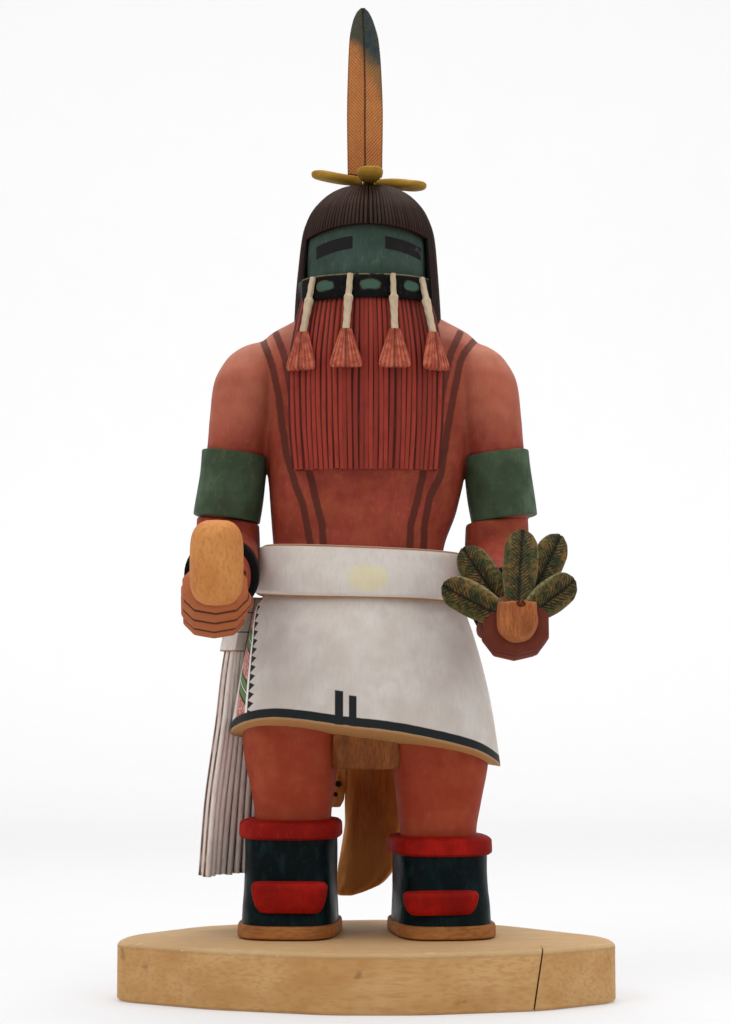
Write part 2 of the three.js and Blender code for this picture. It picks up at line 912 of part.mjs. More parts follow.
function beardFeatherSolid({ top, end, spread }) {
  const square = 1 / grid;
  const width = (STRING_WIDTH / 2) * square;
  const thick = (STRING_THICKNESS / 2) * square;
  const fall = new THREE.Vector3(...top).distanceTo(new THREE.Vector3(...end));
  const string = carve(
    [
      [0, 0, 0, width * 0.75, thick],
      [fall * 0.38, 0, 0, width * 0.8, thick],
      [fall * 0.5, 0, 0, width * 1.2, thick],
      [fall + 1, 0, 0, width * 1.1, thick],
    ],
    { sides: 6, rings: 3, square: 3 },
  );
  const long = DOWN_LENGTH * square;
  const half = (DOWN_WIDTH / 2) * square;
  const deep = (DOWN_THICKNESS / 2) * square;
  const barbs = (angle) => -0.25 * (1 - Math.cos(angle * 5));
  const down = carve(
    [
      [0, 0, 0, half * 0.36, deep * 0.8],
      [long * 0.5, 0, 0, half * 0.74, deep],
      [long * 0.93, 0, 0, half, deep],
      [long, 0, 0, half * 0.9, deep * 0.7],
    ],
    { sides: 10, rings: 2, square: 2.6, relief: barbs },
  );
  const hang = [end[0] - spread * 0.2, end[1] - 1.6, end[2] - long];
  return join(along(string, top, end), along(down, end, hang));
}

// The sash hangs at the right hip: a woven band, and below it a fringe of cords that flares to the ground.
const SASH_TOP = 107;
const FRINGE_TOP = 90.4;
const FRINGE_LOW = 17.4;

// The front edge of the sash, by height: its x and y in grid squares, and the share of the full width
const sashFall = curveThrough([
  [FRINGE_LOW, -51, 7, 1],
  [40, -49.2, 6.6, 0.95],
  [58, -46.9, 6.4, 0.88],
  [68, -45.6, 6.2, 0.84],
  [82, -44.2, 6, 0.76],
  [FRINGE_TOP, -43, 6, 0.7],
  [SASH_TOP, -39.6, 6, 0.66],
]);

function sashBend(point, thickness) {
  const [edgeX, edgeY, share] = sashFall(point.z / grid);
  const back = point.x + SASH_WIDTH / 2;
  const across = Math.min(1, Math.max(0, back / SASH_WIDTH));
  const out = point.y + thickness / 2;
  const turn = THREE.MathUtils.degToRad(66 - 34 * across);
  const run = share * back;
  point.x = edgeX * grid + run * Math.cos(turn) - out * Math.sin(turn);
  point.y = edgeY * grid + run * Math.sin(turn) + out * Math.cos(turn);
}

function sashSolid() {
  const fringe = lockSlab({
    width: SASH_WIDTH,
    thickness: SASH_THICKNESS,
    locks: SASH_CORDS,
    cut: CORD_CUT,
    low: FRINGE_LOW * grid,
    high: (FRINGE_TOP + 1) * grid,
    steps: 3,
    bothFaces: true,
    bend: (point) => sashBend(point, SASH_THICKNESS),
  });
  const thick = SASH_THICKNESS + 1.4;
  const woven = lockSlab({
    width: SASH_WIDTH + 1.4,
    thickness: thick,
    locks: 3,
    cut: 0,
    low: FRINGE_TOP * grid,
    high: SASH_TOP * grid,
    steps: 3,
    bend: (point) => sashBend(point, thick),
  });
  return join(fringe, woven);
}

// The fox skin hangs from the belt at the back, with a paw at each side and the tail swinging to the right.
function foxSolid() {
  const square = 1 / grid;
  const half = (FOX_WIDTH / 2) * square;
  const thick = (FOX_THICKNESS / 2) * square;
  const tail = carve(
    [
      [8.4, -6.6, 39.4, half * 0.2, thick * 0.4],
      [9.8, -5.2, 39.4, half * 0.46, thick * 0.7],
      [12.6, -1.9, 39.5, half * 0.68, thick * 0.95],
      [20, 1, 40, half * 0.87, thick],
      [34, 3.6, 40.6, half * 0.92, thick],
      [52, 2.8, 41.4, half * 0.86, thick],
      [70, 1, 40.2, half * 0.9, thick],
      [92, 0, 35.6, half * 0.8, thick * 0.9],
      [108, 0, 33.4, half * 0.7, thick * 0.7],
    ],
    { sides: 10, rings: 6, square: 2.5, crowd: 1.3 },
  );
  const paw = (side, low) =>
    carve(
      [
        [low, side * 10.6, 40.4, 2, thick * 0.4],
        [low + 3, side * 10.8, 40.6, 3.6, thick * 0.7],
        [low + 12, side * 9.6, 41.4, 4, thick * 0.8],
        [low + 26, side * 6, 40.6, 4, thick * 0.8],
      ],
      { sides: 8, rings: 2, square: 2.6 },
    );
  return join(tail, paw(-1, 38), paw(1, 41));
}

// The doll is put together: a piece that is fitted to another is cut back from it by the glue line.

const COLOURS = {
  bareWood: { color: 0xc79a63, roughness: 0.8 },
  bodyPaint: { color: 0x9c4a34, roughness: 0.7 },
  gourdWood: { color: 0xd08a48, roughness: 0.6 },
  leafPaint: { color: 0x5c5a34, roughness: 0.8 },
  featherPaint: { color: 0xc07444, roughness: 0.7 },
  petalPaint: { color: 0xb08a34, roughness: 0.7 },
  downPaint: { color: 0xc07058, roughness: 0.8 },
  sashPaint: { color: 0xc9b5a6, roughness: 0.85 },
  foxWood: { color: 0xa86a34, roughness: 0.75 },
};

const doll = new THREE.Group();
const standing = new THREE.Group();
standing.position.z = BASE_THICKNESS + SEAM;
doll.add(standing);

function addPiece(parent, name, geometry, finish) {
  const material = new THREE.MeshStandardMaterial({
    ...COLOURS[finish],
    metalness: 0,
  });
  const mesh = new THREE.Mesh(geometry, material);
  mesh.name = name;
  parent.add(mesh);
}

const addSolid = (name, manifold, finish) =>
  addPiece(standing, name, toGeometry(manifold), finish);

addPiece(doll, "base", baseGeometry(), "bareWood");

const figureCutter = figureSolid(SEAM);
addSolid("figure", figureSolid(), "bodyPaint");

const rattleCutter = rattleSolid(SEAM);
const stemCutter = stemSolid(SEAM);
addSolid(
  "right_forearm",
  forearmSolid(HANDS.right).subtract(rattleCutter).subtract(figureCutter),
  "bodyPaint",
);
addSolid(
  "left_forearm",
  forearmSolid(HANDS.left).subtract(stemCutter).subtract(figureCutter),
  "bodyPaint",
);
addSolid("rattle", rattleSolid(), "gourdWood");
addSolid("sprig_stem", stemSolid(), "gourdWood");

const handCutter = forearmSolid(HANDS.left);
LEAVES.reduce((cutter, leaf, i) => {
  addSolid(`sprig_leaf_${i + 1}`, leafSolid(leaf).subtract(cutter), "leafPaint");
  return cutter.add(leafSolid(leaf, SEAM));
}, stemCutter.add(handCutter));

addSolid("head_feather", featherSolid(), "featherPaint");
for (const [name, petal] of Object.entries(PETALS))
  addPiece(standing, name, petalGeometry(petal), "petalPaint");

BEARD_FEATHERS.forEach((feather, i) =>
  addSolid(
    `beard_feather_${i + 1}`,
    beardFeatherSolid(feather).subtract(figureCutter),
    "downPaint",
  ),
);
addSolid("sash", sashSolid().subtract(figureCutter), "sashPaint");
addSolid("fox_skin", foxSolid().subtract(figureCutter), "foxWood");

export default doll;
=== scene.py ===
"""A carved and painted kachina doll of the long-haired kind, on a slab of bare wood.

The doll's carving is drawn on a grid whose square is a millimetre at the real size. z runs from
the soles, -y is the front and +x is the doll's left hand.
"""

import math

import bmesh
import bpy
import numpy as np
from mathutils import Matrix, Vector


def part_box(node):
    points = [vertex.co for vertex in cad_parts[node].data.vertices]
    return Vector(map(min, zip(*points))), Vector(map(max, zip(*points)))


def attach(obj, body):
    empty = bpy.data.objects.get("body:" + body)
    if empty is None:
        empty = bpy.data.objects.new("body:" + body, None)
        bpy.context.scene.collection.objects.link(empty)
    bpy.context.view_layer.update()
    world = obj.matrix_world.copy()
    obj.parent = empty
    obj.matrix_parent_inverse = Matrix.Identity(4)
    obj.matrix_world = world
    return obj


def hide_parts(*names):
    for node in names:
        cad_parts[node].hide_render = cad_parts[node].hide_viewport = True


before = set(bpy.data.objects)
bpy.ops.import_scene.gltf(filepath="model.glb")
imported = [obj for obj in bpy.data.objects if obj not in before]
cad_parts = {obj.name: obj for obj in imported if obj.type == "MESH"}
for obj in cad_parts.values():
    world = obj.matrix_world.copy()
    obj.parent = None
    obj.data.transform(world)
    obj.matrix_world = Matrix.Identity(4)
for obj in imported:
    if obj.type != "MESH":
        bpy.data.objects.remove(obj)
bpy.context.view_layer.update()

# The frame's own sizes. CROWN is how high the crown stands over the soles, in squares
FIGURE_LOW, FIGURE_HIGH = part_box("figure")
SLAB_LOW, SLAB_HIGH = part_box("base")
CROWN = 244.2
SQUARE = (FIGURE_HIGH.z - FIGURE_LOW.z) / CROWN
SOLES = FIGURE_LOW.z
MM = 0.001

# The gap in squares between the crown and what stands on it
SEAM = 0.3

# Carving: closed forms in grid squares


class Form:
    """A closed form: its corners in grid squares, its faces, and numbers marked on its corners."""

    def __init__(self, corners, faces, marks=None):
        self.corners = np.asarray(corners, float)
        self.faces = list(faces)
        self.marks = marks or {}

    def turned(self, axis, degrees):
        turn = np.array(Matrix.Rotation(math.radians(degrees), 3, axis))
        self.corners = self.corners @ turn.T
        return self

    def moved(self, x, y, z):
        self.corners = self.corners + np.array([x, y, z], float)
        return self

    def along(self, start, end):
        """Lays a form that was carved along +z from one place to another, its -y side up."""
        start, end = Vector(start), Vector(end)
        forward = (end - start).normalized()
        side = Vector((0, 0, 1)).cross(forward).normalized()
        up = forward.cross(side)
        turn = np.array([-side, -up, forward])
        self.corners = self.corners @ turn + np.array(start)
        return self

    def measured(self):
        """Marks how far across and up each corner lies, before the form is turned."""
        self.marks["across"] = self.corners[:, 0].copy()
        self.marks["up"] = self.corners[:, 2].copy()
        return self


def curve_through(rows, at):
    """Smooth values at the places asked for, through rows of (place, value, value ...)."""
    rows = np.array(rows, float)
    places, values = rows[:, 0], rows[:, 1:]
    gaps = np.diff(places)[:, None]
    slopes = np.diff(values, axis=0) / gaps
    ends = np.vstack([slopes[:1], slopes, slopes[-1:]])
    before, after = ends[:-1], ends[1:]
    calm = before * after > 0
    tangent = np.where(calm, 2 * before * after / np.where(calm, before + after, 1), 0.0)
    at = np.clip(np.asarray(at, float), places[0], places[-1])
    i = np.clip(np.searchsorted(places, at, side="right") - 1, 0, len(places) - 2)
    t = ((at - places[i]) / gaps[i, 0])[:, None]
    return (
        (2 * t**3 - 3 * t**2 + 1) * values[i]
        + (t**3 - 2 * t**2 + t) * gaps[i] * tangent[i]
        + (3 * t**2 - 2 * t**3) * values[i + 1]
        + (t**3 - t**2) * gaps[i] * tangent[i + 1]
    )


# How round a section is: 2 is an ellipse, and more is squarer
ROUND = 2.3


def signed_power(value, power):
    return np.sign(value) * np.abs(value) ** power


def section_point(row, angle, square, extra=0.0):
    """A place on a form's outline: row is (centre x, centre y, half-width, half-depth)."""
    x, y, width, depth = row
    return (
        x + signed_power(np.sin(angle), 2 / square) * (width + extra),
        y - signed_power(np.cos(angle), 2 / square) * (depth + extra),
    )


def tube_faces(rings, sides):
    """The faces of a closed tube of rings, with a middle corner at each end."""
    faces = []
    for i in range(rings - 1):
        for j in range(sides):
            k = (j + 1) % sides
            faces.append((i * sides + j, i * sides + k, (i + 1) * sides + k, (i + 1) * sides + j))
    low, high = rings * sides, rings * sides + 1
    for j in range(sides):
        k = (j + 1) % sides
        faces.append((low, k, j))
        faces.append((high, (rings - 1) * sides + j, (rings - 1) * sides + k))
    return faces


def stack_faces(levels, sides):
    """The faces of a closed stack of outlines, with one flat face at each end."""
    faces = [face for face in tube_faces(levels, sides) if len(face) == 4]
    faces.append(tuple(range(sides)))
    faces.append(tuple((levels - 1) * sides + i for i in reversed(range(sides))))
    return faces


def carve(rows, sides=64, rings=40, square=ROUND, crowd=1.0, relief=None, lift=None):
    """A form along +z through rows of (height, centre x, centre y, half-width, half-depth).

    The angle is 0 at the front and a quarter turn at +x. relief adds to the radius, and lift to
    the height."""
    share = (np.arange(rings + 1) / rings) ** crowd
    height = rows[0][0] + (rows[-1][0] - rows[0][0]) * share
    section = curve_through(rows, height)
    angle = np.arange(sides) / sides * 2 * math.pi - math.pi
    a, s = np.meshgrid(angle, share)
    extra = relief(a, s) if relief else 0.0
    rise = lift(a, s) if lift else 0.0
    x, y = section_point([section[:, i, None] for i in range(4)], a, square, extra)
    z = height[:, None] + rise + 0 * a
    ring = np.stack([x, y, z], axis=2)
    corners = ring.reshape(-1, 3)
    middles = ring[[0, -1]].mean(axis=1)
    step = np.linalg.norm(np.diff(ring, axis=1, append=ring[:, :1]), axis=2)
    around = np.cumsum(step, axis=1) - step
    around -= around[:, sides // 2 : sides // 2 + 1]
    marks = {
        "around": np.append(around.ravel(), [0, 0]), "share": np.append(s.ravel(), [0, 1]),
        "turn": np.append(a.ravel(), [0, 0]),
    }
    return Form(np.vstack([corners, middles]), tube_faces(rings + 1, sides), marks)


def block(low, high):
    """A plain box between two corners."""
    xs, ys, zs = zip(low, high)
    corners = [(x, y, z) for z in zs for y in ys for x in xs]
    faces = [(0, 2, 3, 1), (4, 5, 7, 6), (0, 1, 5, 4), (2, 6, 7, 3), (0, 4, 6, 2), (1, 3, 7, 5)]
    return Form(corners, faces)


def joined(forms):
    corners, faces, start = [], [], 0
    names = set().union(*(form.marks for form in forms))
    marks = {name: [] for name in names}
    for form in forms:
        corners.append(form.corners)
        faces += [tuple(c + start for c in face) for face in form.faces]
        for name in names:
            marks[name].append(form.marks.get(name, np.zeros(len(form.corners))))
        start += len(form.corners)
    return Form(np.vstack(corners), faces, {name: np.concatenate(m) for name, m in marks.items()})


def put(name, data):
    thing = bpy.data.objects.new(name, data)
    bpy.context.scene.collection.objects.link(thing)
    return thing


def to_metres(corners):
    return np.asarray(corners) * SQUARE + np.array([0, 0, SOLES])


def to_squares(places):
    return (np.asarray(places) - np.array([0, 0, SOLES])) / SQUARE


def mark(mesh, name, values):
    attribute = mesh.attributes.get(name) or mesh.attributes.new(name, "FLOAT", "POINT")
    attribute.data.foreach_set("value", np.asarray(values, np.float32))


def places_on(mesh, what="co"):
    """The mesh's corners in metres, or their normals."""
    flat = np.zeros(len(mesh.vertices) * 3)
    mesh.vertices.foreach_get(what, flat)
    return flat.reshape(-1, 3)


def normals_of(mesh):
    return places_on(mesh, "normal")


def raw_object(name, forms):
    """An object of the forms, in metres, that isn't a finished piece yet."""
    form = joined(forms if isinstance(forms, list) else [forms])
    mesh = bpy.data.meshes.new(name)
    mesh.from_pydata(to_metres(form.corners).tolist(), [], form.faces)
    for key, values in form.marks.items():
        mark(mesh, key, values)
    mesh.update()
    tidy = bmesh.new()
    tidy.from_mesh(mesh)
    bmesh.ops.recalc_face_normals(tidy, faces=tidy.faces)
    tidy.to_mesh(mesh)
    tidy.free()
    return put(name, mesh)


def settle(thing):
    """Makes what the modifiers show into the object's own plain mesh."""
    bpy.context.view_layer.update()
    shown = thing.evaluated_get(bpy.context.evaluated_depsgraph_get())
    mesh = bpy.data.meshes.new_from_object(shown)
    thing.modifiers.clear()
    thing.data = mesh
    return thing


def cut(thing, cutter):
    modifier = thing.modifiers.new("knife", "BOOLEAN")
    modifier.operation = "DIFFERENCE"
    modifier.object = cutter
    modifier.solver = "EXACT"
    settle(thing)
    bpy.data.objects.remove(cutter)
    return thing


def soften(thing, width):
    """Wears the sharp edges round, to a width in millimetres."""
    modifier = thing.modifiers.new("worn_edges", "BEVEL")
    modifier.width = width * MM
    modifier.segments = 2
    modifier.limit_method = "ANGLE"
    modifier.angle_limit = math.radians(40)
    return settle(thing)


def one_surface(thing, grain, rounds):
    """Melts overlapping forms into one skin, as if carved from one block, and relaxes it."""
    remesh = thing.modifiers.new("one_surface", "REMESH")
    remesh.mode = "VOXEL"
    remesh.voxel_size = grain * SQUARE
    relax = thing.modifiers.new("relax", "SMOOTH")
    relax.factor = 0.5
    relax.iterations = rounds
    return settle(thing)


def finish_piece(thing, node, finish, sharp=38):
    """The object becomes the finished piece that stands for a node of the frame."""
    thing.data.materials.clear()
    thing.data.materials.append(finish)
    thing.data.shade_smooth()
    thing.data.set_sharp_from_angle(angle=math.radians(sharp))
    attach(thing, "root")
    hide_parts(node)
    return thing


def piece(name, forms, node, finish, worn=0.0):
    thing = raw_object(name, forms)
    if worn:
        soften(thing, worn)
    return finish_piece(thing, node, finish)


# Nodes


class Wire:
    """A number on its way through a finish. A sum on it adds its Math nodes."""

    def __init__(self, paint, socket):
        self.paint = paint
        self.socket = socket

    def math(self, operation, *values):
        numbers = dict(enumerate(values))
        node = self.paint.node("ShaderNodeMath", {"operation": operation}, numbers)
        return Wire(self.paint, node.outputs[0])

    def __add__(self, other):
        return self.math("ADD", self, other)

    def __sub__(self, other):
        return self.math("SUBTRACT", self, other)

    def __rsub__(self, other):
        return self.math("SUBTRACT", other, self)

    def __mul__(self, other):
        return self.math("MULTIPLY", self, other)

    def __truediv__(self, other):
        return self.math("DIVIDE", self, other)

    def __abs__(self):
        return self.math("ABSOLUTE", self)

    __radd__ = __add__
    __rmul__ = __mul__

    def fraction(self):
        return self.math("FRACT", self)

    def wave(self):
        return self.math("SINE", self)

    def most(self, other):
        return self.math("MAXIMUM", self, other)

    def over(self, edge, soft=0.1):
        """Runs from 0 to 1 as the number passes the edge."""
        node = self.paint.node(
            "ShaderNodeMapRange", {"interpolation_type": "SMOOTHSTEP"},
            {0: self, 1: edge - soft, 2: edge + soft, 3: 0.0, 4: 1.0},
        )
        return Wire(self.paint, node.outputs[0])

    def under(self, edge, soft=0.1):
        return 1 - self.over(edge, soft)

    def between(self, low, high, soft=0.1):
        return self.over(low, soft) * self.under(high, soft)


def tint(code):
    """A colour from its six-figure code, as light."""
    levels = [int(code[i : i + 2], 16) / 255 for i in (0, 2, 4)]
    return (*[v / 12.92 if v < 0.04045 else ((v + 0.055) / 1.055) ** 2.4 for v in levels], 1)


def feed(socket, value):
    """Links a value to a node's socket, or sets it there. Text on a colour socket is a code."""
    if isinstance(value, Wire):
        value = value.socket
    if isinstance(value, bpy.types.NodeSocket):
        socket.id_data.links.new(value, socket)
    elif socket.type == "RGBA" and isinstance(value, str):
        socket.default_value = tint(value)
    else:
        socket.default_value = value


def add_node(tree, kind, settings=None, sockets=None):
    node = tree.nodes.new(kind)
    for key, value in (settings or {}).items():
        setattr(node, key, value)
    for key, value in (sockets or {}).items():
        feed(node.inputs[key], value)
    return node


def strand_tree():
    """Sweeps a round profile along chains of edges, as thick as the girth marked on them."""
    tree = bpy.data.node_groups.new("carved_strands", "GeometryNodeTree")
    tree.is_modifier = True
    kinds = {"Chains": "Geometry", "Width": "Float", "Sides": "Int", "Finish": "Material"}
    new_socket = tree.interface.new_socket
    sockets = {}
    for name, kind in kinds.items():
        socket = new_socket(name, in_out="INPUT", socket_type=f"NodeSocket{kind}")
        sockets[name] = socket.identifier
    new_socket("Strands", in_out="OUTPUT", socket_type="NodeSocketGeometry")

    def step(kind, inputs, **settings):
        return add_node(tree, kind, settings, inputs).outputs[0]

    given = add_node(tree, "NodeGroupInput").outputs
    girth = step("GeometryNodeInputNamedAttribute", {"Name": "girth"}, data_type="FLOAT")
    width = step("ShaderNodeMath", {0: girth, 1: given["Width"]}, operation="MULTIPLY")
    half = step("ShaderNodeMath", {0: width, 1: 0.5}, operation="MULTIPLY")
    line = step("GeometryNodeMeshToCurve", {"Mesh": given["Chains"]})
    line = step("GeometryNodeSetCurveRadius", {"Curve": line, "Radius": half})
    ring = step("GeometryNodeCurvePrimitiveCircle", {"Resolution": given["Sides"], "Radius": 1.0})
    sweep = {"Curve": line, "Profile Curve": ring, "Scale": half, "Fill Caps": True}
    tube = step("GeometryNodeCurveToMesh", sweep)
    tube = step("GeometryNodeSetShadeSmooth", {"Geometry": tube})
    tube = step("GeometryNodeRealizeInstances", {"Geometry": tube})
    tube = step("GeometryNodeSetMaterial", {"Geometry": tube, "Material": given["Finish"]})
    add_node(tree, "NodeGroupOutput", sockets={"Strands": tube})
    return tree, sockets


# Strands: what follows a path, as tubes that swell and thin along it

STRAND_TREE, STRAND_SOCKETS = strand_tree()


def strands(name, paths, width, finish, sides=8):
    """A plain mesh of strands. Each path is (places in squares, girth along it)."""
    chance = np.random.default_rng(len(paths))
    corners, edges, girth, shade, down = [], [], [], [], []
    for places, thickness in paths:
        start = len(corners)
        corners += to_metres(places).tolist()
        edges += [(start + i, start + i + 1) for i in range(len(places) - 1)]
        girth += list(thickness)
        shade += [chance.random()] * len(places)
        down += list(np.linspace(0, 1, len(places)))
    mesh = bpy.data.meshes.new(name)
    mesh.from_pydata(corners, edges, [])
    mark(mesh, "girth", girth)
    mark(mesh, "shade", shade)
    mark(mesh, "down", down)
    thing = put(name, mesh)
    modifier = thing.modifiers.new("strands", "NODES")
    modifier.node_group = STRAND_TREE
    modifier[STRAND_SOCKETS["Width"]] = width * SQUARE
    modifier[STRAND_SOCKETS["Sides"]] = sides
    modifier[STRAND_SOCKETS["Finish"]] = finish
    return settle(thing)


def merge(name, things):
    """One object of several, with their marks."""
    bpy.ops.object.select_all(action="DESELECT")
    for thing in things:
        thing.select_set(True)
    bpy.context.view_layer.objects.active = things[0]
    bpy.ops.object.join()
    things[0].name = name
    things[0].data.name = name
    return things[0]


# Paints and woods


class Paint:
    """A finish, built up from its nodes."""

    def __init__(self, name):
        self.material = bpy.data.materials.new(name)
        self.material.use_nodes = True
        self.tree = self.material.node_tree
        self.shader = self.tree.nodes["Principled BSDF"]
        self.place = self.node("ShaderNodeTexCoord").outputs["Object"]
        axes = self.node("ShaderNodeSeparateXYZ", sockets={0: self.place})
        self.x, self.y = (Wire(self, axes.outputs[i]) / SQUARE for i in (0, 1))
        self.z = (Wire(self, axes.outputs[2]) - SOLES) / SQUARE

    def node(self, kind, settings=None, sockets=None):
        return add_node(self.tree, kind, settings, sockets)

    def noise(self, size, stretch=(1, 1, 1), detail=3.0):
        """Soft random patches of about that many millimetres, longer along a stretched axis."""
        scale = tuple(1 / (size * MM * s) for s in stretch)
        mapping = self.node("ShaderNodeMapping", sockets={"Vector": self.place, "Scale": scale})
        node = self.node(
            "ShaderNodeTexNoise",
            sockets={"Vector": mapping.outputs[0], "Scale": 1.0, "Detail": detail},
        )
        return Wire(self, node.outputs[0])

    def marked(self, name):
        node = self.node("ShaderNodeAttribute", {"attribute_name": name})
        return Wire(self, node.outputs["Fac"])

    def mix(self, share, first, second):
        node = self.node("ShaderNodeMix", {"data_type": "RGBA"}, {0: share, 6: first, 7: second})
        return node.outputs[2]

    def coat(self, share, colour):
        """Lays a colour over the tone so far: share says where, and how thickly."""
        self.tone = self.mix(share, self.tone, colour)

    def spread(self, roughness, height, shine=0.15):
        """Ends the finish: height is in millimetres."""
        bump = self.node(
            "ShaderNodeBump", sockets={"Height": height, "Distance": MM, "Strength": 1.0}
        )
        feed(self.shader.inputs["Base Color"], self.tone)
        feed(self.shader.inputs["Roughness"], roughness)
        feed(self.shader.inputs["Normal"], bump.outputs[0])
        self.shader.inputs["Specular IOR Level"].default_value = shine
        return self.material


def brushed(paint, colour, deep, rubbed, patches=0.5, wear=0.35):
    """Thin paint brushed over carved wood. Returns its roughness and height."""
    cloud = paint.noise(16, detail=2.0)
    mottle = paint.noise(4.5, detail=4.0)
    brush = paint.noise(0.9, stretch=(1, 1, 6))
    speck = paint.noise(1.0, stretch=(1, 1, 2), detail=6.0)
    paint.tone = paint.mix(cloud.over(0.5, 0.2) * patches, colour, deep)
    paint.coat(mottle.over(0.56, 0.14) * patches * 0.6, deep)
    paint.coat(brush.over(0.58, 0.16) * 0.3, deep)
    worn = speck.over(0.6, 0.05) * mottle.under(0.5, 0.12)
    paint.coat(worn * wear, rubbed)
    rough = 0.5 + 0.22 * mottle + 0.1 * speck
    height = 0.1 * brush + 0.05 * speck + 0.3 * paint.noise(6, detail=1.0)
    return rough, height


def skin_finish(name="rust_red_body_paint", stripes=True, hand="ad6439"):
    """Rust red, more orange on the legs, paler on the upper arms and on what faces up from wear,
    dust and a painted top light, and another brown on a hand.
    """
    paint = Paint(name)
    rough, height = brushed(paint, "9a4030", "782a1c", "c47a52", patches=0.9, wear=0.14)
    paint.coat(paint.z.under(70, 8) * 0.6, "963410")
    # Random paler orange patches: partly mottled paint, partly painted highlights of the glossy
    # paint.
    glow = paint.noise(8, detail=4.0).over(0.56, 0.16)
    paint.coat(glow * 0.3, "b5613c")
    # Paler, dusty pink on the upper arms: partly worn paint, partly a painted top light.
    arm = abs(paint.x - FACE_X).over(31, 5) * paint.z.over(162, 9)
    paint.coat(arm * (0.15 + paint.noise(6, detail=4.0) * 0.75), "ba6e55")
    # Paler on what faces up, most on the shoulders: partly dust, partly a painted top light.
    dust = paint.marked("faces_up").over(0.42, 0.34) * (0.2 + paint.noise(4, detail=4.0))
    paint.coat(dust * 0.75, "bb826c")
    if stripes:
        edge = paint.noise(1.5, detail=2.0) * 0.5 - 0.25
        line = (paint.marked("stripe") + edge).under(1.15, 0.22)
        paint.coat(line * 0.85, "4d2219")
    else:
        paint.coat(paint.marked("hand") * 0.8, hand)
        # The creases between the fingers are darkened: painted shade.
        gap = paint.marked("groove").over(0.4, 0.3)
        paint.coat(gap * 0.85, "2b1209")
    return paint.spread(rough, height, shine=0.2)


def plain_paint(name, colour, deep, rubbed, shine=0.15, **habits):
    paint = Paint(name)
    rough, height = brushed(paint, colour, deep, rubbed, **habits)
    return paint.spread(rough, height, shine=shine)


def wood_finish(name, colour, deep, pale, along=(9, 1, 1), size=1.6, marks=None):
    """Bare wood whose grain runs along the stretched axis."""
    paint = Paint(name)
    fibre = paint.noise(size * 0.35, stretch=along, detail=4.0)
    figure = paint.noise(size * 2.6, stretch=along, detail=3.0)
    cloud = paint.noise(26, detail=3.0)
    paint.tone = paint.mix(figure.over(0.5, 0.2) * 0.8, colour, deep)
    paint.coat(cloud.over(0.52, 0.2) * 0.35, pale)
    paint.coat(fibre.over(0.55, 0.1) * 0.5, deep)
    if marks:
        marks(paint)
    rough = 0.6 + 0.2 * fibre
    height = 0.08 * fibre + 0.1 * figure
    return paint.spread(rough, height, shine=0.2)


def slab_marks(paint):
    """Handling marks: dark smudges on the front edge and pale scratches on top. Besides these, the
    whole top is darker and greyer.
    """
    smudge = paint.noise(7, stretch=(1.4, 1, 1.2), detail=5.0).over(0.69, 0.05)
    side = paint.z.under(-2.2, 0.5)
    paint.coat(smudge * side * 0.5, "4f3b2a")
    scratch = paint.noise(1.2, stretch=(6, 1, 1), detail=2.0).over(0.7, 0.04)
    paint.coat(scratch * (1 - side) * 0.5, "efe0c8")
    # The whole top is darker and greyer.
    paint.coat((1 - side) * 0.35, "8c7150")
    edge = abs(paint.z + 0.9).under(0.7, 0.6)
    paint.coat(edge * 0.35, "e3c79c")


PAW_DOTS = ((-9.2, 45.9, 1.1), (-10.2, 42.4, 0.8))


def fox_marks(paint):
    """Paler along the edges and at the lower end, with two dark dots on the right paw."""
    worn = abs(paint.x - 3).over(8.2, 1.4) * paint.noise(2, stretch=(1, 1, 5)).over(0.4, 0.1)
    paint.coat(worn * 0.75, "d0914f")
    paint.coat(paint.z.under(26, 12) * 0.45, "cf8b48")
    for x, z, radius in PAW_DOTS:
        side, up = (paint.x - x) / radius, (paint.z - z) / radius
        paint.coat((side * side + up * up).under(1.0, 0.4), "1c0d06")


def white_finish():
    """The off-white of the rolled belt, with its yellow stain and its bare edges."""
    paint = Paint("off_white_paint")
    rough, height = brushed(paint, "d6cfc8", "c3b6ac", "b59a80", patches=0.6, wear=0.1)
    stain_x = (paint.x - 0.6) / 7.4
    stain_z = (paint.z - 113.4) / 4.6
    stain = (stain_x * stain_x + stain_z * stain_z + paint.noise(3) * 0.8).under(1.2, 0.5)
    paint.coat(stain * paint.y.under(0, 1) * 0.6, "d8cc98")
    bare = paint.marked("bare").over(0.5, 0.3)
    paint.coat(bare, "a5733f")
    return paint.spread(rough, height, shine=0.25)


def kilt_finish():
    """White, with a black hem, two bars in front, and a woven border down the right side."""
    paint = Paint("kilt_paint")
    rough, height = brushed(paint, "d6cfc8", "c0b4aa", "b39b86", patches=0.7, wear=0.08)
    up = paint.marked("above_hem")
    around = paint.marked("around")
    wobble = paint.noise(5, detail=2.0) * 0.7 - 0.35
    black = "151a1b"
    bar = paint.x.between(-9.6, -7.0, 0.14) * up.under(11.3, 0.2)
    bar = bar + paint.x.between(-5.2, -2.8, 0.14) * up.under(10.3, 0.2)
    bar = bar * paint.y.under(0, 1)
    paint.coat(bar, black)
    border(paint, around, up)
    paint.coat((up + wobble * 0.5).between(0.75, 3.6, 0.18), black)
    paint.coat((up + wobble * 0.5).under(0.75, 0.15), "a97c4c")
    return paint.spread(rough, height, shine=0.25)


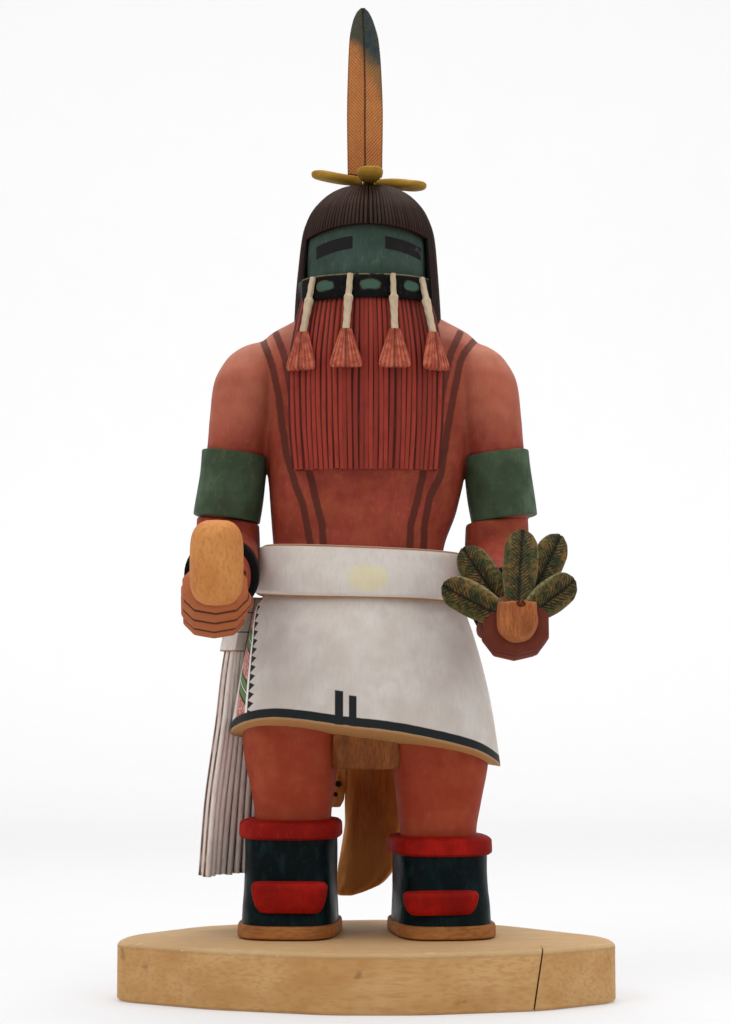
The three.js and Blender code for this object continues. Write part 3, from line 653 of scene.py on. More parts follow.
def border(paint, around, up):
    """The border in a strip beside the sash: teeth, and slanted blocks of red, green and black."""
    across = around + 50.5 - up * 0.047
    teeth = abs((up / 3.0).fraction() - 0.5) * 2
    tooth = across.between(8.4, 11.5, 0.1) * (across - 8.4).under(3.1 * teeth, 0.2)
    inner = across.between(0.4, 7.2, 0.12)
    turn = ((up + across * 0.9 + 4.3) / 16.9).fraction()
    rosy = paint.mix(paint.noise(0.9, detail=2).over(0.5, 0.08), "c99a90", "a8544c")
    paint.coat(inner, rosy)
    paint.coat(inner * turn.under(0.46, 0.012), "20201e")
    paint.coat(inner * turn.between(0.05, 0.19, 0.01), "5d7a45")
    paint.coat(inner * turn.between(0.215, 0.245, 0.01), "e4dfd8")
    paint.coat(inner * turn.between(0.27, 0.41, 0.01), "5d7a45")
    paint.coat(across.between(7.2, 8.2, 0.1), "eeeae4")
    paint.coat(tooth, "1d1d1b")


def mask_finish():
    """Green mask with two dark slits that droop at their outer ends."""
    paint = Paint("green_mask_paint")
    rough, height = brushed(paint, "3b4e45", "293832", "85855c", patches=0.7, wear=0.12)
    rim = (paint.z + abs(paint.x - FACE_X) * 0.16 + paint.noise(2, detail=4) * 2).over(228.6, 1)
    paint.coat(rim * 0.75, "3c2c1c")
    side = abs(paint.x - 1.1)
    out = (side - 5.2).most(0)
    droop = out * 0.12 + out * out * 0.008
    across = side.between(5.3, 17.0, 0.25)
    slit = across * abs(paint.z - 221.7 + droop).under(2.05, 0.2) * paint.y.under(4, 1)
    paint.coat(slit, "161315")
    dust = paint.noise(3, detail=4.0).over(0.6, 0.1) * paint.x.over(12, 3)
    paint.coat(slit * dust * 0.4, "5a554f")
    return paint.spread(rough, height - 0.5 * slit, shine=0.15)


OVALS = (-12.9, 1.6, 14.8)


def collar_finish():
    """Black band with three green ovals, and a painted grey highlight at its ends."""
    paint = Paint("black_collar_paint")
    rough, height = brushed(paint, "111013", "0a0a0b", "4a4540", wear=0.15)
    for middle, half in zip(OVALS, (2.6, 3.0, 2.4)):
        across = (paint.x - middle) / half
        up = (paint.z - 207.6) / 1.4
        level = across * across * across * across + up * up
        ring = level.between(1.0, 1.7, 0.3) * paint.noise(3).over(0.5, 0.15)
        paint.coat(ring * paint.y.under(2, 1) * 0.35, "8f8a5c")
        paint.coat(level.under(1.0, 0.25) * paint.y.under(2, 1), "415a4d")
    # Grey at the band's ends, where it turns to the sides: a painted highlight.
    end = abs(paint.x - 0.6).over(21.4, 0.5)
    paint.coat(end * paint.noise(2, detail=3).over(0.4, 0.1) * 0.8, "5a5b5d")
    rim = paint.z.over(210.9, 0.25) * paint.noise(3).over(0.42, 0.08)
    paint.coat(rim * 0.6, "8f8458")
    return paint.spread(rough, height, shine=0.07)


def strand_finish(name, ridge, groove, ends, end_share, shine=0.2, crest=0.5, dark=0.35):
    """Carved strands: painted shade darkens their grooves, and another colour is at their ends."""
    paint = Paint(name)
    high = paint.marked("ridge")
    shade = paint.marked("shade")
    mottle = paint.noise(2.2, stretch=(1, 1, 3), detail=4.0)
    fleck = paint.noise(0.5, stretch=(1, 1, 4), detail=2.0)
    # Painted shade: away from their crests, as the ridge mark says, the strands take the dark groove
    # colour.
    paint.tone = paint.mix(high.over(crest, 0.2), groove, ridge)
    paint.coat(shade.over(0.6, 0.3) * dark, groove)
    paint.coat(mottle.over(0.58, 0.1) * 0.4, ends)
    end = paint.marked("down").over(end_share, 0.03)
    paint.coat(end * 0.75, ends)
    rough = 0.42 + 0.25 * mottle
    return paint.spread(rough, 0.1 * fleck + 0.05 * mottle, shine=shine)


def feather_finish():
    """Orange feather with a teal tip: fine barbs slant up from a dark shaft."""
    paint = Paint("feather_paint")
    rough, height = brushed(paint, "c67e43", "ad6634", "d9a06a", wear=0.3)
    low = CROWN
    shaft = paint.x - paint.marked("spine")
    blotch = paint.noise(4, detail=4.0) * 7
    brown = (paint.z + blotch + shaft * 2.2).over(low + 45.3, 5.0)
    paint.coat(brown * 0.7, "75603a")
    tip = (paint.z + blotch + shaft).over(low + 49.5, 3.0)
    teal = paint.mix(paint.noise(2.5, detail=3.0).over(0.5, 0.1), "213a42", "34443b")
    teal = paint.mix(shaft.under(-0.2, 0.5) * 0.55, teal, "4f4c38")
    paint.coat(tip, teal)
    barb = ((paint.z - abs(shaft) * 1.1) * 5.2).wave()
    paint.coat(barb.over(0.4, 0.4) * (0.45 - tip * 0.25), "6c3a1c")
    line = abs(shaft + paint.noise(6) * 0.3 - 0.15).under(0.32, 0.14)
    paint.coat(line * 0.85, "2a1a12")
    rim = paint.marked("rim").over(0.93, 0.05)
    paint.coat(rim * 0.6, "5a2f18")
    return paint.spread(rough, height + 0.12 * barb, shine=0.2)


def leaf_finish():
    """Olive leaves whose carved veins were painted dark and rubbed back."""
    paint = Paint("leaf_paint")
    across, up = paint.marked("across"), paint.marked("up")
    vein = ((up - abs(across) * 0.9 + paint.noise(1.4) * 1.6) * 5.2).wave()
    cut_line = vein.over(0.25, 0.4) * abs(across).under(2.9, 1.0)
    mottle = paint.noise(3.2, detail=5.0)
    paint.tone = paint.mix(mottle.over(0.5, 0.1), "5a4c1f", "3a3e1b")
    rub = paint.noise(5, detail=5.0).over(0.52, 0.08)
    paint.coat(rub * 0.6, "6f5527")
    paint.coat(rub * paint.noise(2).over(0.55, 0.08) * 0.55, "8a5a30")
    dirt = paint.noise(1.1, detail=5.0).over(0.55, 0.05)
    paint.coat(dirt * 0.6, "191a0c")
    paint.coat(cut_line * 0.75, "141408")
    edge = abs(abs(paint.marked("turn")) - 1.57).under(0.4, 0.08)
    paint.coat(edge * paint.noise(1.2, detail=3).over(0.45, 0.1) * 0.55, "85835a")
    rib = abs(across + paint.noise(3) * 0.5 - 0.25).under(0.36, 0.16)
    paint.coat(rib * 0.8, "120f09")
    height = 0.3 * (1 - cut_line) - 0.4 * rib - 0.15 * dirt + 0.1 * mottle
    return paint.spread(0.5 + 0.2 * mottle, height, shine=0.2)


def down_finish():
    """Coral feathers with brown lines that fan from the string."""
    paint = Paint("coral_down_paint")
    across, up = paint.marked("across"), paint.marked("up")
    fan = (across / (up + 5.0) * 75.0).wave()
    mottle = paint.noise(2.0, detail=4.0)
    paint.tone = paint.mix(mottle.over(0.5, 0.15), "c96f55", "a94e39")
    paint.coat(fan.over(0.45, 0.4) * 0.55, "6b281c")
    paint.coat(abs(across).under(0.4, 0.2) * 0.6, "5a2016")
    return paint.spread(0.55 + 0.2 * mottle, 0.15 - 0.14 * fan)


def boot_finish():
    """Dark green boots, brushed on streakily, rubbed on the high places, and with a painted sheen.
    """
    paint = Paint("dark_green_boot_paint")
    rough, height = brushed(paint, "0b1a1d", "060c0d", "2c4644", patches=0.8, wear=0.12)
    # Lighter teal streaks: a painted sheen standing in for glossy highlights.
    sheen = paint.noise(3.5, stretch=(1, 1, 2), detail=4.0).over(0.58, 0.08)
    paint.coat(sheen * 0.3, "1b3436")
    return paint.spread(rough - 0.25, height, shine=0.06)


# The pieces

LEGS = {
    "right": dict(side=-1, x=24.2, cuff=36.4, turn=4, flap=(1.7, 8.4, 9.6)),
    "left": dict(side=1, x=24.3, cuff=31.2, turn=8, flap=(-3.4, 7.8, 7.2)),
}
SOLE = 4
BOOT_Y = 6


def boot(which, paints):
    leg = LEGS[which]
    top, side = leg["cuff"], leg["side"]
    flap_x, flap_z, flap_height = leg["flap"]
    low = top - 6
    sole = [(0, 0, 0, 15.9, 22.6), (0.6, 0, 0, 16.3, 23), (SOLE, 0, 0, 16.1, 22.6)]
    upper = [
        (SOLE - 1, 0, 0.3, 15.2, 21.2), (9, 0, 0.8, 15, 20.2), (15, 0, 1.6, 14.7, 18.6),
        (low + 1, 0, 2.2, 14.6, 17),
    ]
    cuff = [
        (low, 0, 2.2, 15.4, 17.6), (low + 0.8, 0, 2.2, 16.5, 18.4), (top - 1.6, 0, 2.2, 16.4, 18.2),
        (top - 0.4, 0, 2.2, 15.4, 17.2), (top, 0, 2.2, 13.4, 15),
    ]
    flap = [
        (0, 0, 0, 9.4, 2.2), (flap_height * 0.25, 0, 0, 11, 2.6),
        (flap_height * 0.85, 0, 0, 12, 2.4), (flap_height, 0, 0, 11.2, 1.6),
    ]
    forms = {
        "sole": carve(sole, 96, 8, square=3.4),
        "upper": carve(
            upper, 96, 24, square=3, relief=lambda a, s: 0.15 * np.sin(5 * a + 7 * s) * s
        ),
        "cuff": carve(cuff, 96, 18, square=2.8, relief=lambda a, s: 0.12 * np.sin(7 * a + side)),
        "flap": carve(flap, 72, 16, square=4).turned("X", 12).moved(flap_x, -18.6, flap_z),
    }
    for part, form in forms.items():
        form.turned("Z", leg["turn"] * side).moved(side * leg["x"], BOOT_Y, 0)
        piece(f"boot_{part}_{which}", form, "figure", paints[part], worn=0.5)


TRUNK = [
    (118, -2.4, 9.5, 27.2, 19.5), (124.5, -2.2, 9.5, 28, 19.5), (136.5, -0.6, 9, 30.6, 20),
    (157.5, 0.8, 9, 33.4, 21), (172, 1, 9, 34.5, 21), (183, 1, 9, 36.5, 19.5),
    (190, 1.3, 9.3, 36.8, 17.5), (194.5, 1.4, 9.5, 33.4, 15.5), (198.5, 1.4, 9.5, 26.5, 13.5),
    (202, 1.2, 9.5, 20, 12),
]
CHEST = [
    (143.5, 0.6, 4, 19, 16.4), (148, 0.6, 4, 25.5, 17.6), (158, 0.8, 4, 29.6, 18.4),
    (174, 1, 4, 30.6, 18.2), (186, 1, 4.4, 30, 16.4), (193, 1, 5, 25, 13),
]
ARM = [
    (133.4, 44.2, 9, 9.7, 12), (145, 43.8, 9, 9.7, 12), (157, 42.4, 9, 9.8, 12.6),
    (167, 40.4, 9, 11, 13.6), (178.8, 38.3, 9, 11.7, 14), (186.4, 35.4, 9, 10.6, 12),
    (190.6, 33, 9, 7.6, 9), (192.6, 31, 9, 3, 4),
]

# The painted stripes, as the lines their middles follow over the chest: x and z in squares
STRIPES = [
    [
        (-34, 193), (-30.4, 183.4), (-28.1, 172.7), (-27, 163.3), (-25.5, 153.6), (-22.3, 143),
        (-20, 136.9), (-17.4, 123.1), (-17, 116),
    ],
    [
        (-29.4, 194.5), (-26.2, 185.5), (-23.6, 172), (-21.6, 160), (-18.1, 148.1), (-15.8, 138.1),
        (-13.9, 130.8), (-13.2, 116),
    ],
    [
        (36.4, 193), (32, 187), (30.6, 183.4), (28.4, 172.7), (26.8, 163.3), (25.2, 153.6),
        (24.2, 146.6), (20.6, 139.8), (19, 130.8), (18.4, 116),
    ],
    [
        (31, 194.5), (27.5, 186.2), (24.4, 172), (22, 160), (18.7, 148.1), (16.5, 138.1),
        (14.5, 130.8), (13.9, 116),
    ],
]
STRIPES_END = 110
FAR_OFF = 99


def distance_to_line(points, line):
    """How far each point is from a line of straight stretches, in squares."""
    nearest = np.full(len(points), np.inf)
    for a, b in zip(line[:-1], line[1:]):
        a, b = np.array(a, float), np.array(b, float)
        way = b - a
        t = np.clip(((points - a) @ way) / (way @ way), 0, 1)
        gap = np.linalg.norm(points - (a + t[:, None] * way), axis=1)
        nearest = np.minimum(nearest, gap)
    return nearest


def mirrored(rows, side):
    return [(z, side * x, y, w, d) for z, x, y, w, d in rows]


def painted_body(finish):
    """Trunk, upper arms and legs, carved in one."""
    forms = [carve(TRUNK, 160, 120, square=2.4), carve(CHEST, 160, 80, square=2.4)]
    for side in (-1, 1):
        forms.append(carve(mirrored(ARM, side), sides=96, rings=80, square=2.3, crowd=0.8))
    for leg in LEGS.values():
        side, x, top = leg["side"], leg["x"], leg["cuff"]
        rows = [
            (top - 10, side * (x - 0.7), 8.5, 12.2, 13), (top + 1, side * (x - 0.7), 8.5, 12.4, 13),
            (top + 10, side * (x - 0.5), 8.5, 13.7, 14), (top + 24, side * x, 8.5, 15.7, 15.5),
            (top + 48, side * (x - 2), 9, 17, 18),
        ]
        forms.append(carve(rows, 96, 60, square=2.7))
    thing = raw_object("painted_body", forms)
    one_surface(thing, 0.85, rounds=4)
    places = to_squares(places_on(thing.data))
    flat = places[:, [0, 2]]
    nearest = np.min([distance_to_line(flat, line) for line in STRIPES], axis=0)
    nearest[places[:, 2] < STRIPES_END] = FAR_OFF
    mark(thing.data, "stripe", nearest)
    mark(thing.data, "faces_up", normals_of(thing.data)[:, 2])
    return finish_piece(thing, "figure", finish, sharp=60)


def thigh_block(finish):
    form = carve(
        [(52.5, 0.5, 9, 11, 12), (54, 0.5, 9, 11.4, 12.6), (80, 0.5, 9, 12, 16)],
        64, 16, square=6, relief=lambda a, s: 0.3 * np.sin(9 * a) * np.sin(14 * s),
    )
    piece("thigh_block", form, "figure", finish, worn=0.5)


# How high the kilt's hem hangs, by the turn round it in degrees
HEM = [(-225, 54), (-180, 57.5), (-135, 59), (-90, 63.5), (-38, 68.6), (0, 65.5)]
HEM += [(45, 59.3), (90, 53), (135, 54), (180, 57.5), (225, 59)]
HEM_MEAN = 61


def kilt(finish):
    def lift(a, s):
        low = curve_through(HEM, np.degrees(a).ravel())[:, 0].reshape(a.shape)
        return (low - HEM_MEAN) * (1 - s) ** 1.5

    form = carve(
        [
            (HEM_MEAN, 0.1, 9, 44.1, 30.5), (78, -0.2, 9, 41.2, 29), (92, -0.8, 9, 37.9, 26.6),
            (106, -1.8, 9.3, 33.6, 22.8), (112, -1.2, 9.3, 29, 19),
        ],
        256, 90, square=2.25, lift=lift, relief=lambda a, s: 0.25 * np.sin(3 * a + 1) * (1 - s),
    )
    low = curve_through(HEM, np.degrees(form.marks["turn"]))[:, 0]
    form.marks["above_hem"] = form.corners[:, 2] - low
    middle_of_hem = -2
    form.marks["above_hem"][middle_of_hem] = 0
    piece("kilt", form, "figure", finish, worn=0.5)


def rolled_belt(finish):
    rows = [
        (107, -6.3, 9.4, 33.6, 24), (108.5, -6.3, 9.4, 35, 25), (112, -6.3, 9.4, 34.9, 25),
        (118, -6.3, 9.4, 34.3, 24), (122.4, -6.3, 9.4, 33.6, 22.8), (123.6, -6.3, 9.4, 31.8, 21),
    ]
    form = carve(
        rows, 200, 60, square=2.4, relief=lambda a, s: 0.2 * np.sin(2 * a + 5 * s),
        lift=lambda a, s: 0.35 * np.sin(3 * a) * (1 - s),
    )
    share = form.marks["share"]
    form.marks["bare"] = np.where((share < 0.03) | (abs(share - 0.975) < 0.015), 1.0, 0.0)
    form.turned("Y", 2.4)
    piece("rolled_belt", form, "figure", finish, worn=0.4)


def arm_band(which, side, finish):
    form = carve(
        [
            (-10.8, 0.6 * side, 0, 10.9, 13.4), (0, 0.4 * side, 0, 10.9, 13.4),
            (10.8, 0.6 * side, 0, 11, 13.9),
        ],
        128, 30, square=2.4, relief=lambda a, s: 0.12 * np.sin(4 * a + 6 * s),
    )
    form.turned("Y", -7.5 * side).moved(43.7 * side, 9, 144.4)
    piece(f"arm_band_{which}", form, "figure", finish, worn=0.5)


HEAD_X = 1
FACE_X = 0.4
MASK = [
    (194, FACE_X, 7.6, 20.4, 20.4), (204, FACE_X, 7.6, 20.9, 21.2), (218, FACE_X, 7.6, 20.9, 21.2),
    (228, FACE_X, 7.8, 19.8, 20.2), (233, FACE_X, 8, 17.4, 18),
]
CAP = [
    (196, 0.7, 8, 24.4, 24), (207, 0.7, 8, 23.8, 23.6), (217, 0.8, 8, 23, 23.2),
    (227, 0.9, 8, 21.9, 22.4), (233.8, 0.9, 8, 19.6, 20.2), (239, 1, 8, 15.6, 16.2),
    (242.4, 1, 8, 10.6, 11.2), (CROWN, 1, 8, 4.6, 5),
]
FACE_HALF = 20.4
STRAND_COUNT = 116
BROW, CAP_END, EAR_Y = 224, 197.0, 3


def mask(finishes):
    form = carve(MASK, 160, 60)
    piece("case_mask", form, "figure", finishes["mask"], worn=0.3)
    band = carve(
        [
            (203.4, FACE_X, 7.3, 23, 22.3), (204, FACE_X, 7.3, 23.3, 22.6),
            (210.6, FACE_X, 7.3, 23.1, 22.3), (211.3, FACE_X, 7.3, 22.8, 22),
        ],
        160, 14,
    )
    behind = raw_object("behind", block((-30, 1, 190), (30, 40, 225)))
    thing = cut(raw_object("collar_band", band), behind)
    soften(thing, 0.35)
    finish_piece(thing, "figure", finishes["collar"])


def fringe_height(x):
    """The lower edge of the hair over the mask, by how far aside it is."""
    return 227.8 - 0.0075 * (x - FACE_X) ** 2


def hair(finish):
    """The cap, with its strands, and the locks down the back."""
    under = [(z, x, y, w - 0.5, d - 0.5) for z, x, y, w, d in CAP]
    core = raw_object("hair", carve(under, 120, 40))
    left, right = FACE_X - FACE_HALF, FACE_X + FACE_HALF
    outline = [(left, 190), (right, 190)]
    outline += [(x, fringe_height(x)) for x in np.linspace(right, left, 15)]
    count = len(outline)
    corners = [(x, y, z) for y in (-30, 5) for x, z in outline]
    faces = [tuple(range(count)), tuple(range(2 * count - 1, count - 1, -1))]
    for i in range(count):
        k = (i + 1) % count
        faces.append((i, count + i, count + k, k))
    cut(core, raw_object("window", Form(corners, faces)))
    mark(core.data, "down", np.zeros(len(core.data.vertices)))
    paths = []
    for i in range(STRAND_COUNT):
        angle = (i + 0.5) / STRAND_COUNT * 2 * math.pi - math.pi
        low = strand_end(angle)
        heights = CROWN - 0.4 - (CROWN - 0.4 - low) * np.linspace(0, 1, 34) ** 1.3
        rows = curve_through(CAP, heights)
        width = 2 * math.pi * rows[:, 2] / STRAND_COUNT * 1.3
        inset = -0.47 * width
        x, y = zip(*(section_point(row, angle, ROUND, extra) for row, extra in zip(rows, inset)))
        paths.append((np.stack([x, y, heights], axis=1), width))
    top = strands("hair_strands", paths, 1.0, finish)
    # The depth below the cap marks the crests; the finish paints the grooves as painted shade.
    for part in (core, top):
        mark(part.data, "ridge", height_of_ridge(to_squares(places_on(part.data))))
    back, locks = back_locks(finish)
    mark(back.data, "ridge", np.zeros(len(back.data.vertices)))
    mark(locks.data, "ridge", crest(normals_of(locks.data)[:, 1]))
    thing = merge("hair", [core, top, back, locks])
    finish_piece(thing, "figure", finish, sharp=70)


def height_of_ridge(places):
    """1 on the crests of the cap's strands and 0 in the grooves, by the depth below the cap."""
    rows = curve_through(CAP, places[:, 2])
    across = np.abs((places[:, :2] - rows[:, :2]) / rows[:, 2:])
    level = (across**ROUND).sum(axis=1) ** (1 / ROUND)
    pitch = 2 * math.pi * rows[:, 2] / STRAND_COUNT
    return np.clip(1 - (1 - level) * rows[:, 2] / (0.24 * pitch), 0, 1)


def crest(facing):
    """1 where a strand faces straight out, and 0 or less in its grooves."""
    return (facing - 0.78) / 0.22


def strand_end(angle):
    """How low a strand of the cap reaches, by its angle."""
    row = curve_through(CAP, [BROW])[0]
    x, y = section_point(row, angle, ROUND)
    if y < EAR_Y and abs(x - FACE_X) < FACE_HALF - 0.2:
        return fringe_height(x) - 0.2
    return CAP_END


LOCK_STEPS = 24


def lock_slab(name, rows, aside, thick, out):
    """The plain core of the beard, in front, or of the back hair, where out is 1.

    Its rows are (height, half-width, middle, wrap), and it stays just inside the strands."""
    heights = np.linspace(rows[0][0] + 0.2, rows[-1][0], LOCK_STEPS)
    loop = [(u, -1) for u in np.linspace(-1, 1, LOCK_STEPS)]
    loop += [(u, 1) for u in np.linspace(1, -1, LOCK_STEPS)]
    corners = []
    for z, (half, middle, wrap) in zip(heights, curve_through(rows, heights)):
        for u, v in loop:
            x = u * (half - 0.5)
            y = out * (middle - wrap * x * x) + v * (thick / 2 - 0.4)
            corners.append((x + aside, y, z))
    return raw_object(name, Form(corners, stack_faces(LOCK_STEPS, len(loop))))


# How thick a lock's strand is, and how deep its middle lies, as shares of the strands' pitch
STRAND_GIRTH, STRAND_SINK = 1.66, 0.78
BEARD_LOW, BEARD_HIGH = 148, 205
BEARD = [
    (BEARD_LOW, 23, 9.5, 0.0058), (165, 24.3, 9.5, 0.0058), (181, 24.6, 9.5, 0.007),
    (195, 22.8, 8.5, 0.014), (BEARD_HIGH, 20.6, 7.1, 0.024),
]
BACK_LOW, BACK_HIGH = 152, 206
BACK = [
    (BACK_LOW, 23.5, 27.8, 0.006), (182, 23.5, 27.8, 0.006), (197, 21, 27, 0.012),
    (BACK_HIGH, 17, 26, 0.0175),
]


def beard(finish):
    thick, count = 14, 29
    core = lock_slab("beard", BEARD, 0.2, thick, out=-1)
    mark(core.data, "ridge", np.zeros(len(core.data.vertices)))
    chance = np.random.default_rng(7)
    paths = []
    for i in range(count):
        low = BEARD_LOW + chance.uniform(-0.1, 0.25)
        heights = np.append(low, np.linspace(low + 0.2, BEARD_HIGH, 30))
        half, front, wrap = curve_through(BEARD, heights).T
        pitch = 2 * half / count
        stray = chance.uniform(-0.2, 0.2) * (0 < i < count - 1)
        x = -half + (i + 0.5 + stray) * pitch + 0.1 * np.sin(heights / 9 + 2 * i)
        y = wrap * x * x - front - thick / 2 + STRAND_SINK * pitch
        paths.append((np.stack([x + 0.2, y, heights], axis=1), pitch * STRAND_GIRTH))
    front = strands("beard_strands", paths, 1.0, finish, sides=10)
    # Forward-facing corners count as crests; the finish paints the rest as painted shade.
    normals = normals_of(front.data)
    mark(front.data, "ridge", np.where(normals[:, 2] < -0.5, 1, crest(-normals[:, 1])))
    thing = merge("beard", [core, front])
    finish_piece(thing, "figure", finish, sharp=70)


def back_locks(finish):
    thick, count = 10, 28
    core = lock_slab("back_core", BACK, 0.9, thick, out=1)
    chance = np.random.default_rng(11)
    paths = []
    for i in range(count):
        heights = np.linspace(BACK_LOW + chance.uniform(-0.1, 0.3), BACK_HIGH, 26)
        half, middle, wrap = curve_through(BACK, heights).T
        pitch = 2 * half / count
        x = -half + (i + 0.5) * pitch + 0.12 * np.sin(heights / 8 + 3 * i)
        y = middle - wrap * x * x + thick / 2 - STRAND_SINK * pitch
        paths.append((np.stack([x + 0.9, y, heights], axis=1)[::-1], pitch * STRAND_GIRTH))
    return core, strands("back_strands", paths, 1.0, finish)


# The hands and what they hold

HANDS = {
    "right": dict(
        side=-1, wrist=(-45.2, -22, 113.8), fist=(-46.6, -33.5, 105.4), lean=40, toe=0.09
    ),
    "left": dict(side=1, wrist=(44.8, -22, 104.5), fist=(46, -33.5, 97.2), lean=8, toe=0),
}
FIST_LENGTH = 17
FINGERS = 4


def on_grip(hand, distance):
    """A place on the axis of a hand's grip, so far in front of the fist's middle."""
    lean = math.radians(hand["lean"])
    x, y, z = hand["fist"]
    aside = hand["toe"] * distance
    return (x + aside, y - math.cos(lean) * distance, z + math.sin(lean) * distance)


def knuckles(angle, share):
    """Grooves between the fingers, equally deep all round."""
    groove = np.abs(np.sin(math.pi * FINGERS * share)) ** 0.45
    return 1.5 * groove - 1.5


def finger_lines(thing, hand):
    """Marks the creases between the fingers, which the hand's finish darkens as painted shade, and
    how much a place belongs to the hand.
    """
    middle = np.array(hand["fist"])
    way = np.array(on_grip(hand, 1)) - middle
    from_fist = to_squares(places_on(thing.data)) - middle
    along_grip = from_fist @ way
    aside = np.linalg.norm(from_fist - along_grip[:, None] * way, axis=1)
    lines = (np.arange(1, FINGERS) / FINGERS - 0.5) * FIST_LENGTH
    gap = np.min(np.abs(along_grip[:, None] - lines), axis=1)
    near = (aside < 13) & (np.abs(along_grip) < FIST_LENGTH / 2) & (from_fist[:, 1] < 6)
    mark(thing.data, "groove", np.exp(-((gap / 0.45) ** 2)) * near)
    mark(thing.data, "hand", np.clip((5 - from_fist[:, 1]) / 6, 0, 1))


def forearm(which, finishes):
    hand = HANDS[which]
    side, wrist = hand["side"], hand["wrist"]
    elbow = (44.2 * side - 1, 9, 122)
    reach = math.dist(elbow, wrist)
    crook = carve(
        [
            (110.4, elbow[0], 8, 6, 7), (113, elbow[0], 8, 9.2, 10),
            (119, elbow[0], 8.6, 10.6, 11.8), (132.8, elbow[0], 9, 10.2, 11.8),
            (133.4, elbow[0], 9, 9.4, 11),
        ],
        sides=96, rings=60, square=2.4, lift=lambda a, s: 1.2 * side * np.sin(a) * s**2,
    )
    arm = carve(
        [
            (-2, 0, 0, 10.4, 10.6), (reach * 0.5, 0, 0, 10.6, 10.4), (reach, 0, 0, 9.4, 9.2),
            (reach + 8, 0, 0, 8.6, 8),
        ],
        96, 60,
    ).along(elbow, wrist)
    half = FIST_LENGTH / 2
    fist = carve(
        [
            (0, 0, 0.6, 8.4, 7.8), (2, 0, 0.4, 9.8, 9.1), (half, 0, 0, 10.8, 9.9),
            (FIST_LENGTH - 2, 0, 0, 10.4, 9.5), (FIST_LENGTH, 0, 0, 8.8, 8),
        ],
        10, 100, square=2.4, relief=knuckles,
    ).along(on_grip(hand, -half), on_grip(hand, half))
    x, y, z = hand["fist"]
    thumb = carve(
        [
            (0, 0, 0, 1.4, 1.4), (1.6, 0, 0, 3.3, 3), (8, 0, 0, 3.6, 3.4), (12, 0, 0, 2.8, 2.6),
            (13.4, 0, 0, 1, 1),
        ],
        48, 40,
    ).along((x - 8.6 * side, y + 7, z - 1), (x - 6.9 * side, y - 8, z + 2))
    thing = raw_object(f"{which}_forearm_and_fist", [crook, arm, fist, thumb])
    one_surface(thing, 0.45, rounds=2)
    finger_lines(thing, hand)
    finish_piece(thing, f"{which}_forearm", finishes[f"{which}_hand"], sharp=60)
    guard = carve(
        [
            (-6.4, 0, 0, 11.2, 11.2), (-5.8, 0, 0, 11.8, 11.8), (1, 0, 0, 11.7, 11.7),
            (1.6, 0, 0, 11.2, 11.2),
        ],
        96, 20, square=2.1,
    ).along(wrist, (wrist[0], wrist[1] - 10, wrist[2] - 1.5))
    piece(f"wrist_guard_{which}", guard, f"{which}_forearm", finishes["guard"], worn=0.4)


GOURD_REACH = 17.2
HANDLE_TAIL = 12


def rattle(finish):
    low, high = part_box("rattle")
    half_width = (high.x - low.x) / 2 / SQUARE
    half_depth, half_height = 9.0, 13.0
    rows = []
    for t in np.linspace(-1, 1, 25):
        wide = max(1 - abs(math.sin(t * math.pi / 2)) ** (2 / 0.72), 1e-4) ** 0.36
        z = half_height * signed_power(math.sin(t * math.pi / 2), 0.72)
        rows.append((z, 0, 0, half_width * wide, half_depth * wide))
    gourd = carve(
        rows, 96, 80, square=2.6, relief=lambda a, s: 0.12 * np.sin(6 * a)
    ).moved(*on_grip(HANDS["right"], GOURD_REACH))
    handle = carve(
        [(0, 0, 0, 2.3, 2.3), (0.5, 0, 0, 2.6, 2.6), (HANDLE_TAIL + GOURD_REACH, 0, 0, 2.6, 2.6)],
        32, 20,
    ).along(on_grip(HANDS["right"], -HANDLE_TAIL), on_grip(HANDS["right"], GOURD_REACH))
    piece("gourd_rattle", [gourd, handle], "rattle", finish, worn=0.3)


def stem(finish):
    hand = HANDS["left"]
    length, half = 21.2, 6.2

    def square_top(a, s):
        corner = 1 / np.maximum(np.abs(np.sin(a)), np.abs(np.cos(a))) - 1
        return np.where(np.abs(a) < math.pi / 2, 0.8 * half * corner, 0) + 0.1 * np.sin(7 * a) * s

    front, back = on_grip(hand, length - 6), on_grip(hand, -6)
    body = carve(
        [(0, 0, 0, 5.3, 5.3), (length - 3.6, 0, 0, half, half), (length, 0, 0, 5.3, 5)],
        96, 40, square=2, relief=square_top,
    ).along(back, front)
    thing = raw_object("sprig_stem_carving", body)
    x, y, z = front
    notch = carve([(0, 0, 0, 1.5, 1.3), (9, 0, 0, 1.5, 1.3)], 12, 2)
    notch.along((x + 1, y + 5, z + 4.2), (x + 1, y - 3, z + 5.6))
    cut(thing, raw_object("notch", notch))
    soften(thing, 0.4)
    finish_piece(thing, "sprig_stem", finish)


LEAVES = [
    dict(fan=5, reach=8.2, turn=0, size=1.15), dict(fan=26, reach=3, turn=20, size=1.25),
    dict(fan=-31, reach=3.4, turn=-20, size=1.12), dict(fan=51, reach=7.6, turn=34, size=0.86),
    dict(fan=-60, reach=7.6, turn=-34, size=0.95),
]
LEAF_LENGTH, LEAF_HALF, LEAF_THICK = 27, 5.5, 2.3
LEAF_LEAN = 20


